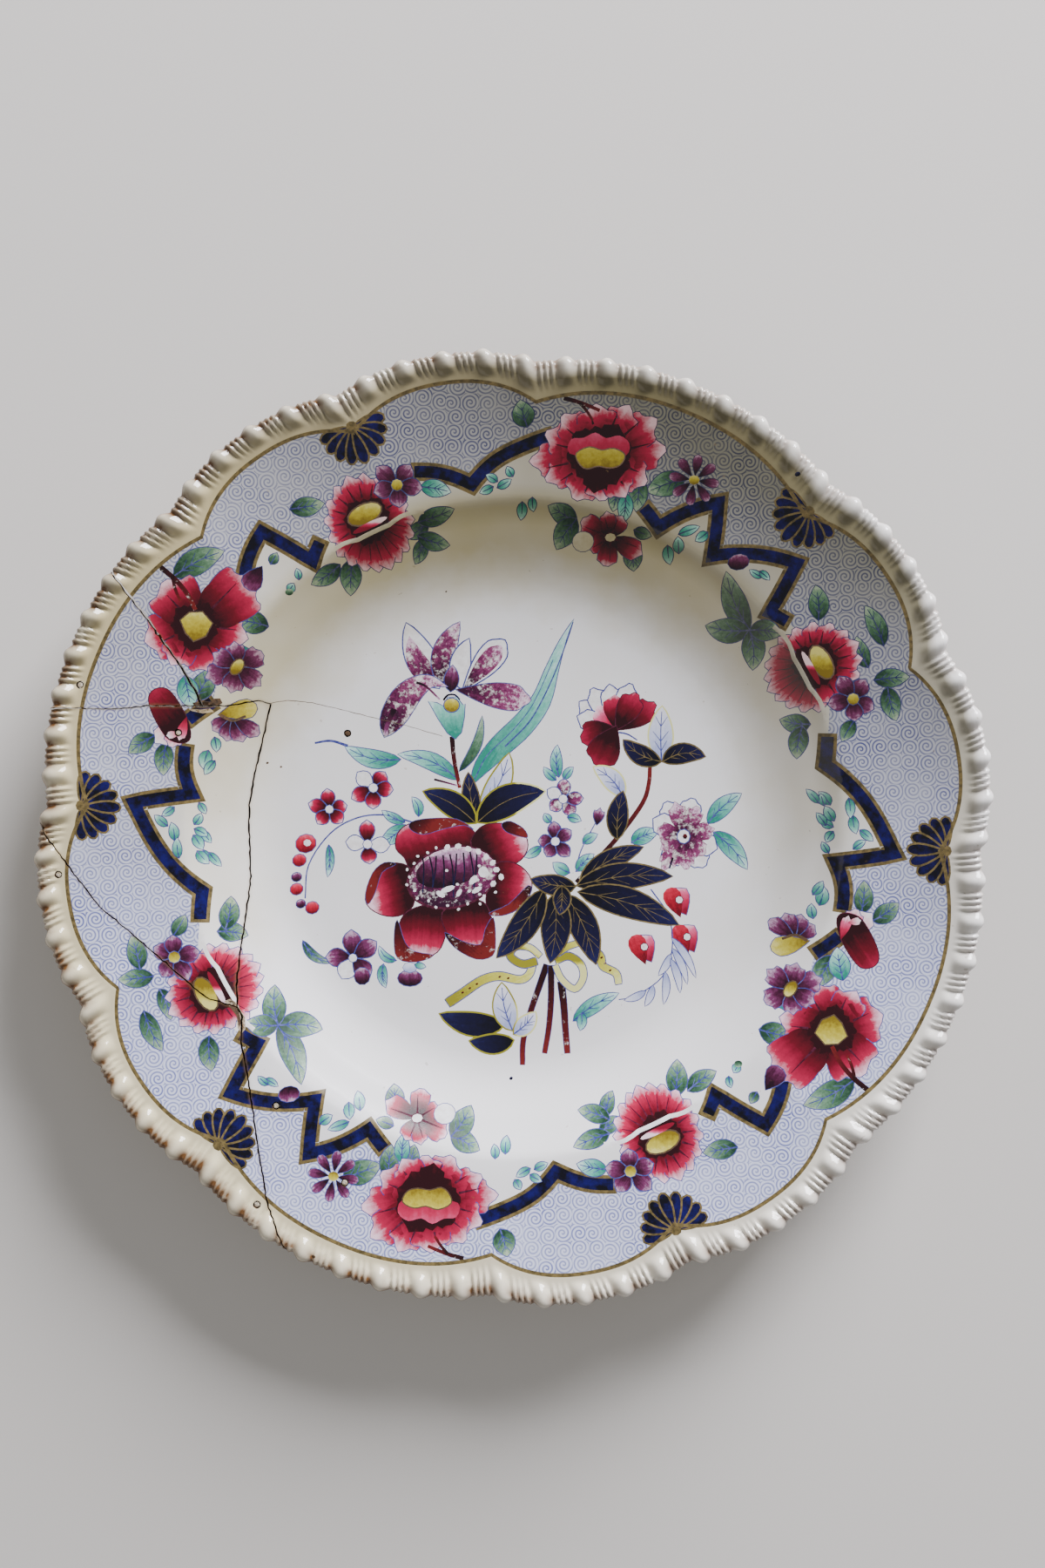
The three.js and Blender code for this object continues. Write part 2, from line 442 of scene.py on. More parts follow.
@dataclass(frozen=True)
class Crack:
    """A crack seen in plan, with its open width and how far its line wanders."""

    path: tuple[Point, ...]
    width: float
    seed: int
    wander: float = 0.1

    def centre(self) -> Array:
        """The crack's line in flat positions, with small irregular steps."""
        flat = FORM.stretched(np.array(self.path, float))
        lengths = np.hypot(*np.diff(flat, axis=0).T)
        far = np.concatenate([[0], np.cumsum(lengths)])
        at = np.linspace(0, far[-1], max(4, int(far[-1] / 1.1)))
        line = np.stack([np.interp(at, far, flat[:, 0]), np.interp(at, far, flat[:, 1])], 1)
        shifts = np.random.default_rng(self.seed).normal(0, self.wander, len(line))
        shifts[[0, -1]] = 0
        return line + sideways(line) * shifts[:, None]

    def opening(self) -> Outline:
        """The outline of the open crack."""
        line = self.centre()
        widths = self.width * np.random.default_rng(self.seed + 50).uniform(0.75, 1.3, len(line))
        return ribbon(line, widths)


CRACKS = {
    "upper": Crack(
        ((-118, 81.4), (-108.3, 67.9), (-100.5, 57.6), (-92.4, 46), (-87.1, 37.2), (-85.7, 33.4)),
        0.6, 3,
    ),
    "left": Crack(
        ((-140, 32.1), (-109.8, 32.6), (-99.3, 33.6), (-79.6, 33.5), (-71, 35.3), (-67.8, 34.4)),
        0.36, 5,
    ),
    "well": Crack(
        (
            (-67.8, 34.5), (-69.6, 26.9), (-71.8, 17.5), (-73.7, 7.5), (-74, 0.9), (-73.5, -14.6),
            (-75.6, -32.8), (-76.4, -41.7), (-76.1, -49.4), (-74.9, -51.3), (-74.8, -59.4), (-72.4, -71.3),
            (-70.1, -86.8), (-67.3, -102.1), (-62.6, -114.2), (-57, -129.5),
        ),
        0.44, 7,
    ),
    "side": Crack(
        (
            (-140, 12), (-128.9, 1.4), (-122.2, -9.5), (-113.6, -21.2), (-104.2, -29.2), (-91, -40.9),
            (-84.4, -46.5), (-79.4, -48.2), (-76, -49.4),
        ),
        0.36, 9,
    ),
}
HAIRLINE = Crack(
    ((-67.8, 34.6), (-63.3, 35.5), (-57.4, 35), (-51.1, 33.6), (-44, 31.9), (-30.3, 28.5), (-20.1, 25.5)),
    0.16, 11, 0.06,
)


@dataclass(frozen=True)
class Hole:
    """A drilled hole: where it is in plan, and whether it comes through to the face."""

    at: Point
    through: bool = False
    filling: Paint = CEMENT
    radius: float = 1.08

    def rim(self) -> Outline:
        """The hole's edge in flat positions, slightly out of round."""
        a = np.linspace(0, 2 * pi, 15)[:-1]
        flat = FORM.stretched(np.array([self.at], float))[0]
        rng = np.random.default_rng(int(abs(self.at[0] * 10)))
        r = self.radius * rng.uniform(0.93, 1.06, len(a))
        return flat + np.stack([r * np.cos(a), r * np.sin(a)], 1)


@dataclass(frozen=True)
class Staple:
    """A wire staple: its two ends in plan and whether each end's hole comes through."""

    start: Hole
    end: Hole


STAPLES = {
    "staple_upper_crack": Staple(Hole((-102.6, 49.2)), Hole((-92.6, 56.6))),
    "staple_left_edge": Staple(Hole((-118.4, 39.2), True), Hole((-118.4, 26))),
    "staple_left_inner": Staple(Hole((-92.1, 26.2), True), Hole((-94.3, 39.6))),
    "staple_well_upper": Staple(Hole((-68.1, 21.2)), Hole((-77.9, 23.9))),
    "staple_well_lower": Staple(Hole((-70.2, -13.2)), Hole((-81.3, -16.6))),
    "staple_lower_inner": Staple(Hole((-65.2, -76.1), True), Hole((-78.2, -77.2))),
    "staple_lower_long": Staple(Hole((-70.1, -102.7), True), Hole((-46.3, -97.1), True)),
    "staple_side_edge": Staple(Hole((-124.3, -12.6), True), Hole((-115.5, -7.9))),
    "staple_side_inner": Staple(Hole((-94.3, -29.5)), Hole((-102.7, -38.9))),
    "staple_hairline": Staple(Hole((-46.7, 26.3), True, HOLE), Hole((-43.5, 38))),
}
HOLES = [hole for staple in STAPLES.values() for hole in (staple.start, staple.end)]


@dataclass(frozen=True)
class Chip:
    """A shallow place where the glaze and some body have flaked away."""

    outline: tuple[Point, ...]
    depth: float
    paint: Paint

    def edge(self) -> Outline:
        """The flake's outline."""
        return np.array(self.outline, float)


CHIPS = [
    Chip(
        (
            (-88.3, 34.4), (-87.2, 34.6), (-86.4, 35.4), (-85.2, 34.8), (-83.6, 34.7), (-82.4, 35.6),
            (-80.9, 35.7), (-80.3, 34.4), (-81.8, 33.6), (-83.6, 33.1), (-86.0, 32.9), (-87.6, 33.4),
        ),
        0.7, STAIN,
    ),
    Chip(
        ((-89.4, 32.9), (-86.2, 32.5), (-83.6, 32.9), (-82.4, 31.9), (-85.4, 31.5), (-88.6, 32.2)), 0.35,
        BODY,
    ),
    Chip(
        (
            (-79.6, -47.6), (-77.9, -46.9), (-76.4, -47.9), (-75.2, -49.9), (-73.9, -52), (-73.7, -55.2),
            (-74.8, -56.4), (-75.9, -54.8), (-76.1, -51.8), (-77.4, -49.6),
        ),
        0.65, BODY,
    ),
    Chip(
        ((-78.2, -48.9), (-77.0, -48.4), (-75.7, -50.4), (-75, -53.2), (-75.5, -55), (-76.2, -51.6)), 0.3,
        STAIN,
    ),
]


# ---- the ware


@dataclass
class Ware:
    """The broken plate: one closed mesh for each piece, made from one flat layout of its face.

    The face is laid out once as triangles that respect every crack, hole and painted outline, so
    the pieces match along their cracks. The back is laid out piece by piece from the same edges.
    """

    strokes: list[Stroke]
    around: int = 1656
    rows: int = 17
    gilt_width: float = 1.05
    wall_rows: int = 3
    layout: dict = field(default_factory=dict)

    def ring(self, radius: Callable[[Array], Array] | float, count: int) -> Array:
        """Flat positions round a ring whose radius may depend on the direction."""
        degrees = np.arange(count) * 360 / count + FORM.first_point_deg
        return around(degrees, radius(degrees) if callable(radius) else radius)

    def band(self, share: float) -> Callable[[Array], Array]:
        """A ring's radius in the moulded edge: 0 at the gilt line, 1 outermost."""
        return lambda degrees: FORM.line(degrees) + share * (FORM.limit(degrees) - FORM.line(degrees))

    def rim_row(self, share: float) -> Callable[[Array], Array]:
        """A ring's radius on the flat of the rim: 0 at the shoulder, 1 at the gilt line."""
        return lambda degrees: FORM.shoulder_r + share * (FORM.line(degrees) - FORM.shoulder_r)

    def openings(self) -> list[Outline]:
        """Outlines on the face that aren't ware: the cracks and the holes that come through."""
        holes = [hole.rim() for hole in HOLES if hole.through]
        return [crack.opening() for crack in CRACKS.values()] + holes

    def is_open(self, points: Array) -> Array:
        """Which flat positions are in a crack, in a hole or past the plate's edge."""
        found = FORM.moulding_share(points) > 1 + 1e-7
        for outline in self.openings():
            found |= inside(points, outline)
        return found

    def piece_of(self, points: Array) -> Array:
        """The name of the piece each flat position belongs to."""
        names = np.full(len(points), "main_plate", dtype=object)
        lines = {name: crack.centre() for name, crack in CRACKS.items()}
        far = np.array([[-300.0, 60.0], [-300.0, 200.0]])
        upper = np.vstack([lines["upper"], lines["left"][lines["left"][:, 0] < -85.7][::-1], far])
        well = lines["well"]
        split = int(np.argmin(np.hypot(*(well - lines["side"][-1]).T)))
        far = [[-300.0, 14.0], [-300.0, 30.0]]
        left = np.vstack([lines["left"], well[: split + 1], lines["side"][::-1], far])
        lower = np.vstack([lines["side"], well[split:], [[-80.0, -300.0], [-300.0, -300.0], [-300.0, 10.0]]])
        names[inside(points, lower)] = "lower_left_piece"
        names[inside(points, left)] = "left_piece"
        names[inside(points, upper)] = "upper_left_piece"
        return names

    def free_points(self, face: bool) -> Array:
        """Flat positions that only give the surfaces their curve, and are on no outline."""
        rings = []
        if face:
            rings += [self.ring(self.band(t), self.around) for t in np.linspace(0, 1, self.rows)[1:-1]]
            rings += [self.ring(r, max(6, int(2.3 * r))) for r in (5, 12, 20, 28, 36, 44, 52, 58, 62)]
            rings += [self.ring(r, int(2.6 * r)) for r in np.arange(64.5, 90, 1.9)]
            rows = (0.02, 0.05, 0.14, 0.25, 0.36, 0.48, 0.6, 0.72, 0.84)
            rings += [self.ring(self.rim_row(t), 300) for t in rows]
        else:
            steps = (0.2, 0.4, 0.55, 0.7, 0.8, 0.88, 0.95)
            rings += [self.ring(self.band(t), self.around // 2) for t in steps]
            rings += [self.ring(r, max(6, int(2.0 * r))) for r in (8, 20, 32, 44, 54, 58)]
            feet = (60.5, 62.4, 63.1, 63.8, 64.2, 64.7, 65.2, 65.7, 66.5, 67.4, 67.9, 68.2, 68.6, 69.2, 70.2)
            rings += [self.ring(r, 260) for r in feet]
            rings += [self.ring(r, 200) for r in (72.5, 75.5, 79, 82.5, 86, 89, 91, 92.4, 93.6)]
            rings += [self.ring(self.rim_row(t), 220) for t in (0.14, 0.3, 0.46, 0.62, 0.78, 0.94)]
        return np.vstack([np.zeros((1, 2)), *rings])

    def away_from_cracks(self, points: Array, least: float) -> Array:
        """Drops the points that are nearer to a crack or hole than a distance."""
        clear = self.crack_distance(points) > least + 0.16
        for hole in HOLES:
            at = FORM.stretched(np.array([hole.at], float))[0]
            clear &= np.hypot(*(points - at).T) > hole.radius + least
        return points[clear]

    @staticmethod
    def distance(points: Array, line: Array) -> Array:
        """How far points are from a polyline."""
        best = np.full(len(points), 1e9)
        for a, b in zip(line, line[1:]):
            d = b - a
            t = np.clip(((points - a) @ d) / max(float(d @ d), 1e-9), 0, 1)
            best = np.minimum(best, np.hypot(*(points - a - t[:, None] * d).T))
        return best

    def crack_distance(self, points: Array) -> Array:
        """How far flat positions are from the nearest crack."""
        lines = [crack.centre() for crack in CRACKS.values()]
        return np.min([self.distance(points, line) for line in lines], axis=0)

    def lay_out(self) -> None:
        """Makes the face's triangles and gives each its paint."""
        chips = [chip.edge() for chip in CHIPS]
        parting = [*self.openings(), self.ring(self.band(1.0), self.around)]
        closed = [self.ring(self.band(0.0), self.around)]
        closed += [self.ring(lambda d: FORM.line(d) - self.gilt_width, self.around // 2)]
        closed += [self.ring(FORM.shoulder_r, 360)]
        closed += [s.outline for s in self.strokes] + chips + [HAIRLINE.opening()] + parting
        near_chips = [c.mean(0) + (c - c.mean(0)) * k for c in chips for k in (0.35, 0.7)]
        free = self.away_from_cracks(np.vstack([self.free_points(True), *near_chips]), 0.12)
        edges = ring_edges(closed)
        walls = range(len(edges) - sum(len(o) for o in parting), len(edges))
        flat, faces, _, region = self.triangulate(np.vstack([*closed, free]), edges, walls)
        keep = ~np.isnan(region[:, 0])
        keep[keep] = ~self.is_open(region[keep])
        faces, region = faces[keep], region[keep]
        middle = flat[faces].mean(1)
        order = np.argsort(middle[:, 0])
        across = middle[order, 0]
        index = np.full(len(faces), -1)
        for i, stroke in enumerate(self.strokes):
            low, high = np.searchsorted(across, [stroke.outline[:, 0].min(), stroke.outline[:, 0].max()])
            near = order[low:high]
            index[near[inside(middle[near], stroke.outline)]] = i
        painted = index >= 0
        paint = np.full(len(faces), GLAZE, dtype=object)
        paint[painted] = [self.strokes[i].paint for i in index[painted]]
        degrees, s = compass(middle)
        line = FORM.line(degrees)
        paint[(s > line - self.gilt_width) & (s < line)] = GILT
        paint[inside(middle, HAIRLINE.opening())] = STAIN
        for chip in CHIPS:
            paint[inside(middle, chip.edge())] = chip.paint
        uv = np.tile(np.array([0.5, 0.5]), (len(faces), 3, 1))
        by_stroke = np.argsort(index, kind="stable")
        for mine in np.split(by_stroke, np.flatnonzero(np.diff(index[by_stroke])) + 1):
            if index[mine[0]] >= 0:
                stroke = self.strokes[index[mine[0]]]
                uv[mine] = stroke.run(flat[faces[mine]].reshape(-1, 2)).reshape(-1, 3, 2)
        self.layout = {
            "flat": flat, "faces": faces, "paint": paint, "uv": uv, "piece": self.piece_of(region),
        }

    @staticmethod
    def triangulate(
        points: Array, edges: list[tuple[int, int]], walls: range,
    ) -> tuple[Array, Array, list, Array]:
        """Triangles over flat positions that keep the given edges.

        Args:
            points: the positions.
            edges: pairs of positions that must be joined.
            walls: which of the edges part one region from the next.

        Returns:
            The positions, the triangles, where each position came from, and for each triangle
            the middle of the largest triangle of its region (not a number if the region is tiny).
        """
        made = delaunay_2d_cdt([Vector(p) for p in points], edges, [], 0, 1e-5)
        flat, faces = np.array([tuple(v) for v in made[0]], float), np.array(made[2], int)
        size = len(flat)
        origins = zip(made[1], made[4])
        fixed = [min(e) * size + max(e) for e, given in origins if any(g in walls for g in given)]
        sides = np.sort(np.vstack([faces[:, [0, 1]], faces[:, [1, 2]], faces[:, [2, 0]]]), axis=1)
        key = sides[:, 0] * size + sides[:, 1]
        order = np.argsort(key, kind="stable")
        key, owner = key[order], np.tile(np.arange(len(faces)), 3)[order]
        joined = (key[1:] == key[:-1]) & ~np.isin(key[1:], fixed)
        a, b = owner[:-1][joined], owner[1:][joined]
        label, before = np.arange(len(faces)), None
        while before is None or (label != before).any():
            before = label.copy()
            np.minimum.at(label, before[a], before[b])
            np.minimum.at(label, before[b], before[a])
            for _ in range(4):
                label = label[label]
        p, q, r = flat[faces[:, 0]], flat[faces[:, 1]], flat[faces[:, 2]]
        area = np.abs(np.cross(q - p, r - p)) / 2
        by_size = np.argsort(area)
        largest = np.zeros(len(faces), int)
        largest[label[by_size]] = by_size
        region = flat[faces].mean(1)[largest[label]]
        region[np.bincount(label, area, len(faces))[label] < 0.6] = np.nan
        return flat, faces, made[3], region

    def sink(self, flat: Array) -> Array:
        """How far the face is lowered by the flaked places."""
        drop = np.zeros(len(flat))
        rough = np.random.default_rng(21).uniform(0.75, 1.15, len(flat))
        for chip in CHIPS:
            edge = chip.edge()
            within = inside(flat, edge)
            away = self.distance(flat[within], np.vstack([edge, edge[:1]]))
            deep = chip.depth * np.clip(away / 0.45, 0, 1) ** 0.6 * rough[within]
            drop[within] = np.maximum(drop[within], deep)
        return drop

    def make_piece(self, name: str) -> bpy.types.Object:
        """Builds one piece as a closed mesh at the plate's place.

        Args:
            name: the CAD node it stands for.

        Returns:
            The new object, with its edge relief already in its mesh.
        """
        mine = self.layout["piece"] == name
        used, faces = np.unique(self.layout["faces"][mine], return_inverse=True)
        faces = faces.reshape(-1, 3)
        flat = self.layout["flat"][used]
        uv = list(self.layout["uv"][mine])
        paint = list(self.layout["paint"][mine])
        points = FORM.place(flat, True)
        points[:, 2] -= self.sink(flat)
        loops = self.outline_loops(faces)
        order = np.concatenate(loops)
        free = self.free_points(False)
        free = free[self.piece_of(free) == name]
        free = self.away_from_cracks(free[FORM.moulding_share(free) < 0.97], 0.3)
        blind = [hole for hole in HOLES if not hole.through]
        blind = [hole for hole in blind if self.piece_of(np.array([hole.at]))[0] == name]
        rims = [hole.rim() for hole in blind]
        rings = [flat[loop] for loop in loops] + rims
        edges = ring_edges(rings)
        laid = np.vstack([*rings, free])
        back, back_faces, source, region = self.triangulate(laid, edges, range(len(edges)))
        good = np.zeros(len(region), bool)
        for ring in rings:
            good ^= inside(region, ring)
        back_faces = back_faces[good][:, ::-1]
        back_points = FORM.place(back, False)
        twin = {k: i for i, names in enumerate(source) for k in names}
        offset = len(points)
        number = np.arange(len(back)) + offset
        welded = {}
        for k, vertex in enumerate(order):
            other = twin[k]
            if abs(points[vertex, 2] - back_points[other, 2]) < 1e-3:
                number[other] = vertex
            welded[vertex] = number[other]
        made = _MeshParts(
            points=[points, back_points],
            flat=[flat, back],
            faces=[*faces.tolist(), *number[back_faces].tolist()],
            paint=[*paint, *[GLAZE] * len(back_faces)],
            uv=[*uv, *[np.full((3, 2), 0.5)] * len(back_faces)],
            side=[*[1] * len(faces), *[2] * len(back_faces)],
        )
        hole_rims = [hole.rim() for hole in HOLES if hole.through]
        for loop in loops:
            middle = flat[loop].mean(0)
            is_hole = len(loop) < 30 and any(np.hypot(*(middle - rim.mean(0))) < 0.5 for rim in hole_rims)
            # Crack walls take the dark crack dirt, which is also painted shade deep in the narrow gaps.
            made.wall(loop, [welded[v] for v in loop], self.wall_rows, HOLE if is_hole else STAIN)
        base = len(order)
        for rim in rims:
            made.pit([int(number[twin[base + i]]) for i in range(len(rim))], 2.3)
            base += len(rim)
        return made.build(name, self)

    @staticmethod
    def outline_loops(faces: Array) -> list[Array]:
        """The closed loops of edges that belong to one triangle only, the ware on their left."""
        edges = np.vstack([faces[:, [0, 1]], faces[:, [1, 2]], faces[:, [2, 0]]])
        seen = {(int(a), int(b)) for a, b in edges}
        onward: dict[int, list[int]] = {}
        for a, b in seen:
            if (b, a) not in seen:
                onward.setdefault(a, []).append(b)
        loops = []
        while onward:
            start = next(iter(onward))
            loop = [start]
            at = start
            while True:
                ways = onward[at]
                step = ways.pop()
                if not ways:
                    del onward[at]
                if step == start:
                    break
                loop.append(step)
                at = step
            loops.append(np.array(loop))
        return loops


@dataclass
class _MeshParts:
    """The points, faces and paint of one piece while it is put together."""

    points: list[Array]
    flat: list[Array]
    faces: list[list[int]]
    paint: list[Paint]
    uv: list[Array]
    side: list[int]

    def add_points(self, points: Array) -> Array:
        """Adds inner points and returns their numbers."""
        first = sum(len(p) for p in self.points)
        self.points.append(points)
        self.flat.append(np.full((len(points), 2), np.nan))
        return np.arange(first, first + len(points))

    def add_face(self, corners: Sequence[int], paint: Paint, side: int = 3) -> None:
        """Adds one triangle, unless two of its corners are the same point."""
        if len(set(corners)) == 3:
            self.faces.append([int(c) for c in corners])
            self.paint.append(paint)
            self.uv.append(np.full((3, 2), 0.5))
            self.side.append(side)

    def wall(self, top: Sequence[int], bottom: Sequence[int], rows: int, paint: Paint) -> None:
        """Joins a loop of the face to the matching loop of the back with rough rows."""
        everything = np.vstack(self.points)
        a, b = everything[np.array(top)], everything[np.array(bottom)]
        open_here = np.array([t != u for t, u in zip(top, bottom)])
        rng = np.random.default_rng(len(top))
        levels = [np.array(top)]
        for k in range(1, rows):
            share = k / rows
            row = a * (1 - share) + b * share
            depth = np.clip((a[:, 2] - b[:, 2]) / 2, 0, 1)[:, None]
            row[:, :2] += rng.normal(0, 0.04, (len(row), 2)) * depth
            numbers = self.add_points(row)
            levels.append(np.where(open_here, numbers, np.array(top)))
        levels.append(np.array(bottom))
        for upper, lower in zip(levels, levels[1:]):
            for i, j in ring_edges([top]):
                self.add_face((upper[j], upper[i], lower[i]), paint)
                self.add_face((upper[j], lower[i], lower[j]), paint)

    def pit(self, ring: Sequence[int], depth: float) -> None:
        """Adds a blind hole that goes up into the ware from a loop of the back."""
        everything = np.vstack(self.points)
        top = everything[np.array(ring)] + [0, 0, depth]
        top[:, 2] = top[:, 2].mean()
        upper = self.add_points(top)
        centre = self.add_points(top.mean(0, keepdims=True))[0]
        for i, j in ring_edges([ring]):
            self.add_face((ring[i], upper[i], upper[j]), HOLE)
            self.add_face((ring[i], upper[j], ring[j]), HOLE)
            self.add_face((upper[i], centre, upper[j]), HOLE)

    def build(self, name: str, ware: Ware) -> bpy.types.Object:
        """Makes the object: attributes, edge relief, paints and smooth normals."""
        points, flat = np.vstack(self.points), np.vstack(self.flat)
        faces = np.array(self.faces, int)
        used, small = np.unique(faces, return_inverse=True)
        faces, points, flat = small.reshape(-1, 3), points[used], flat[used]
        mesh = bpy.data.meshes.new(name + "_look")
        mesh.from_pydata((points * MM).tolist(), [], faces.tolist())
        paints = list(dict.fromkeys(self.paint))
        for paint in paints:
            mesh.materials.append(PALETTE[paint])
        mesh.polygons.foreach_set("material_index", [paints.index(p) for p in self.paint])
        uv = mesh.uv_layers.new(name="paint")
        uv.data.foreach_set("uv", np.concatenate(self.uv).astype(np.float32).ravel())
        side = np.array(self.side)
        known = ~np.isnan(flat[:, 0])
        here = np.where(known[:, None], flat, 0.0)
        face_like = np.zeros(len(points), bool)
        face_like[np.unique(faces[side == 1])] = True
        share = np.where(known, FORM.moulding_share(here), -1.0)
        degrees, _ = compass(here)
        normal = np.where(face_like[:, None], FORM.normals(here, True), FORM.normals(here, False))
        rise = eased(share, ((-1, 0), (0.1, 0), (0.44, 1), (0.93, 1), (1.0, 0.75)))
        fall = eased(share, ((-1, 0), (0.7, 0), (1.0, 0.75), (1.1, 0.75)))
        outward = np.column_stack([around(degrees, 1.0), np.zeros(len(points))])
        lip = np.clip((share - 0.8) / 0.2, 0, 1)[:, None]
        push = normal * (1 - lip) + outward * lip
        turns = (degrees - FORM.first_point_deg) / GADROON.pitch_deg - 0.17 * (share - 0.6)
        values = {
            "crack": np.where(known, ware.crack_distance(here), 9.0),
            "relief_place": np.mod(turns, 1.0),
            "relief_share": np.where(face_like, rise, fall) * known,
            "band_share": share,
        }
        for key, value in values.items():
            mesh.attributes.new(key, "FLOAT", "POINT").data.foreach_set("value", value.astype(np.float32))
        ways = mesh.attributes.new("relief_way", "FLOAT_VECTOR", "POINT")
        ways.data.foreach_set("vector", push.astype(np.float32).ravel())
        made = GADROON.apply(name, mesh)
        self.smooth(made, side, share > -0.02, normal)
        return made

    @staticmethod
    def smooth(made: bpy.types.Object, side: Array, moulded: Array, normal: Array) -> None:
        """Gives the face and the back smooth normals and leaves broken walls flat."""
        mesh = made.data
        points = np.zeros(len(mesh.vertices) * 3)
        mesh.vertices.foreach_get("co", points)
        points = points.reshape(-1, 3)
        corners = np.zeros(len(mesh.loops), int)
        mesh.loops.foreach_get("vertex_index", corners)
        tri = corners.reshape(-1, 3)
        flat_normal = np.cross(points[tri[:, 1]] - points[tri[:, 0]], points[tri[:, 2]] - points[tri[:, 0]])
        total = np.zeros_like(points)
        for k in range(3):
            np.add.at(total, tri[side < 3, k], flat_normal[side < 3])
        total /= np.maximum(np.linalg.norm(total, axis=1, keepdims=True), 1e-15)
        chosen = np.where(moulded[:, None], total, normal)
        per_corner = chosen[corners]
        rough = np.repeat(side == 3, 3)
        unit = flat_normal / np.maximum(np.linalg.norm(flat_normal, axis=1, keepdims=True), 1e-15)
        per_corner[rough] = np.repeat(unit, 3, axis=0)[rough]
        mesh.polygons.foreach_set("use_smooth", np.ones(len(mesh.polygons), bool))
        mesh.normals_split_custom_set(per_corner.tolist())
        mesh.update()


# ---- geometry nodes


class NodeRig:
    """A Geometry Nodes group with named inputs, put on a mesh and then applied."""

    def __init__(self, name: str, inputs: dict[str, "float | bpy.types.Material"]) -> None:
        """Makes the group with a geometry input and output and one named input for each value."""
        self.tree = bpy.data.node_groups.new(name, "GeometryNodeTree")
        face = self.tree.interface
        for way in ("INPUT", "OUTPUT"):
            face.new_socket("Geometry", in_out=way, socket_type="NodeSocketGeometry")
        self.inputs, self.sockets = inputs, {}
        for label, value in inputs.items():
            kind = "NodeSocketFloat" if isinstance(value, float) else "NodeSocketMaterial"
            self.sockets[label] = face.new_socket(label, in_out="INPUT", socket_type=kind).identifier
        self.start = Out(self.tree, self.tree.nodes.new("NodeGroupInput"))
        self.end = self.tree.nodes.new("NodeGroupOutput")

    def read(self, name: str, kind: str = "FLOAT") -> Out:
        """What the mesh holds under a name."""
        return add(self.tree, "GeometryNodeInputNamedAttribute", {"Name": name}, data_type=kind)

    def moved(self, way: Out, by: Out) -> Out:
        """The group's geometry moved along a direction by a length."""
        offset = add(self.tree, "ShaderNodeVectorMath", {0: way, "Scale": by}, operation="SCALE")
        return add(self.tree, "GeometryNodeSetPosition", {"Geometry": self.start, "Offset": offset})

    def finish(self, source: Out, material: str = "") -> None:
        """Makes the last geometry real, gives it the material of a named input and puts it out."""
        source = add(self.tree, "GeometryNodeRealizeInstances", {0: source})
        if material:
            source = add(self.tree, "GeometryNodeSetMaterial", {0: source, "Material": self.start[material]})
        self.tree.links.new(source.node.outputs[0], self.end.inputs[0])

    def run(self, name: str, mesh: bpy.types.Mesh, **others: bpy.types.Material) -> bpy.types.Object:
        """Puts the group on a mesh, applies it and returns the finished object at the origin.

        Args:
            name: the object's name.
            mesh: what the group works on.
            others: inputs that differ from those the group was made with.

        Returns:
            The object that holds the result.
        """
        rough = bpy.data.objects.new(name + "_rough", mesh)
        bpy.context.scene.collection.objects.link(rough)
        modifier = rough.modifiers.new("rig", "NODES")
        modifier.node_group = self.tree
        for label, value in {**self.inputs, **others}.items():
            modifier[self.sockets[label]] = value
        graph = bpy.context.evaluated_depsgraph_get()
        graph.update()
        result = bpy.data.meshes.new_from_object(rough.evaluated_get(graph), depsgraph=graph)
        bpy.data.objects.remove(rough)
        result.name = name + "_mesh"
        made = bpy.data.objects.new(name, result)
        bpy.context.scene.collection.objects.link(made)
        return made


@dataclass
class Gadroon:
    """The moulded edge's repeat: one broad swell, then thin ribs, leaning a little round the edge."""

    pitch_deg: float = 5.0
    swell: float = 1.75
    rib: float = 0.95
    hollow: float = 0.85
    ribs: int = 3
    swell_share: float = 0.56
    rig: NodeRig | None = None

    def make_rig(self) -> NodeRig:
        """The group that pushes the edge out along relief_way by the moulding's profile."""
        rig = NodeRig("Gadroon relief", {
            "Swell Height": self.swell * MM, "Rib Height": self.rib * MM, "Hollow Depth": self.hollow * MM,
            "Rib Count": float(self.ribs), "Swell Share": self.swell_share,
        })
        swell, swell_share = rig.start["Swell Height"], rig.start["Swell Share"]
        place = rig.read("relief_place")
        broad = ((place / swell_share).clamp() * pi).do("SINE").clamp() ** 1.15
        along = (place - swell_share).clamp() / (1.0 - swell_share)
        thin = (along.do("MINIMUM", 0.9999) * rig.start["Rib Count"]).do("FRACT")
        thin = (thin * pi).do("SINE").clamp() ** 0.9
        height = broad * swell + thin * rig.start["Rib Height"]
        lift = (height - rig.start["Hollow Depth"]) * rig.read("relief_share")
        made = rig.moved(rig.read("relief_way", "FLOAT_VECTOR"), lift)
        stored = {"Geometry": made, "Name": "relief_height", "Value": (height / swell).clamp()}
        kept = add(rig.tree, "GeometryNodeStoreNamedAttribute", stored, data_type="FLOAT", domain="POINT")
        rig.finish(kept)
        return rig

    def apply(self, name: str, mesh: bpy.types.Mesh) -> bpy.types.Object:
        """Gives a piece's mesh its edge relief and returns the finished object."""
        self.rig = self.rig or self.make_rig()
        return self.rig.run(name, mesh)


GADROON = Gadroon()


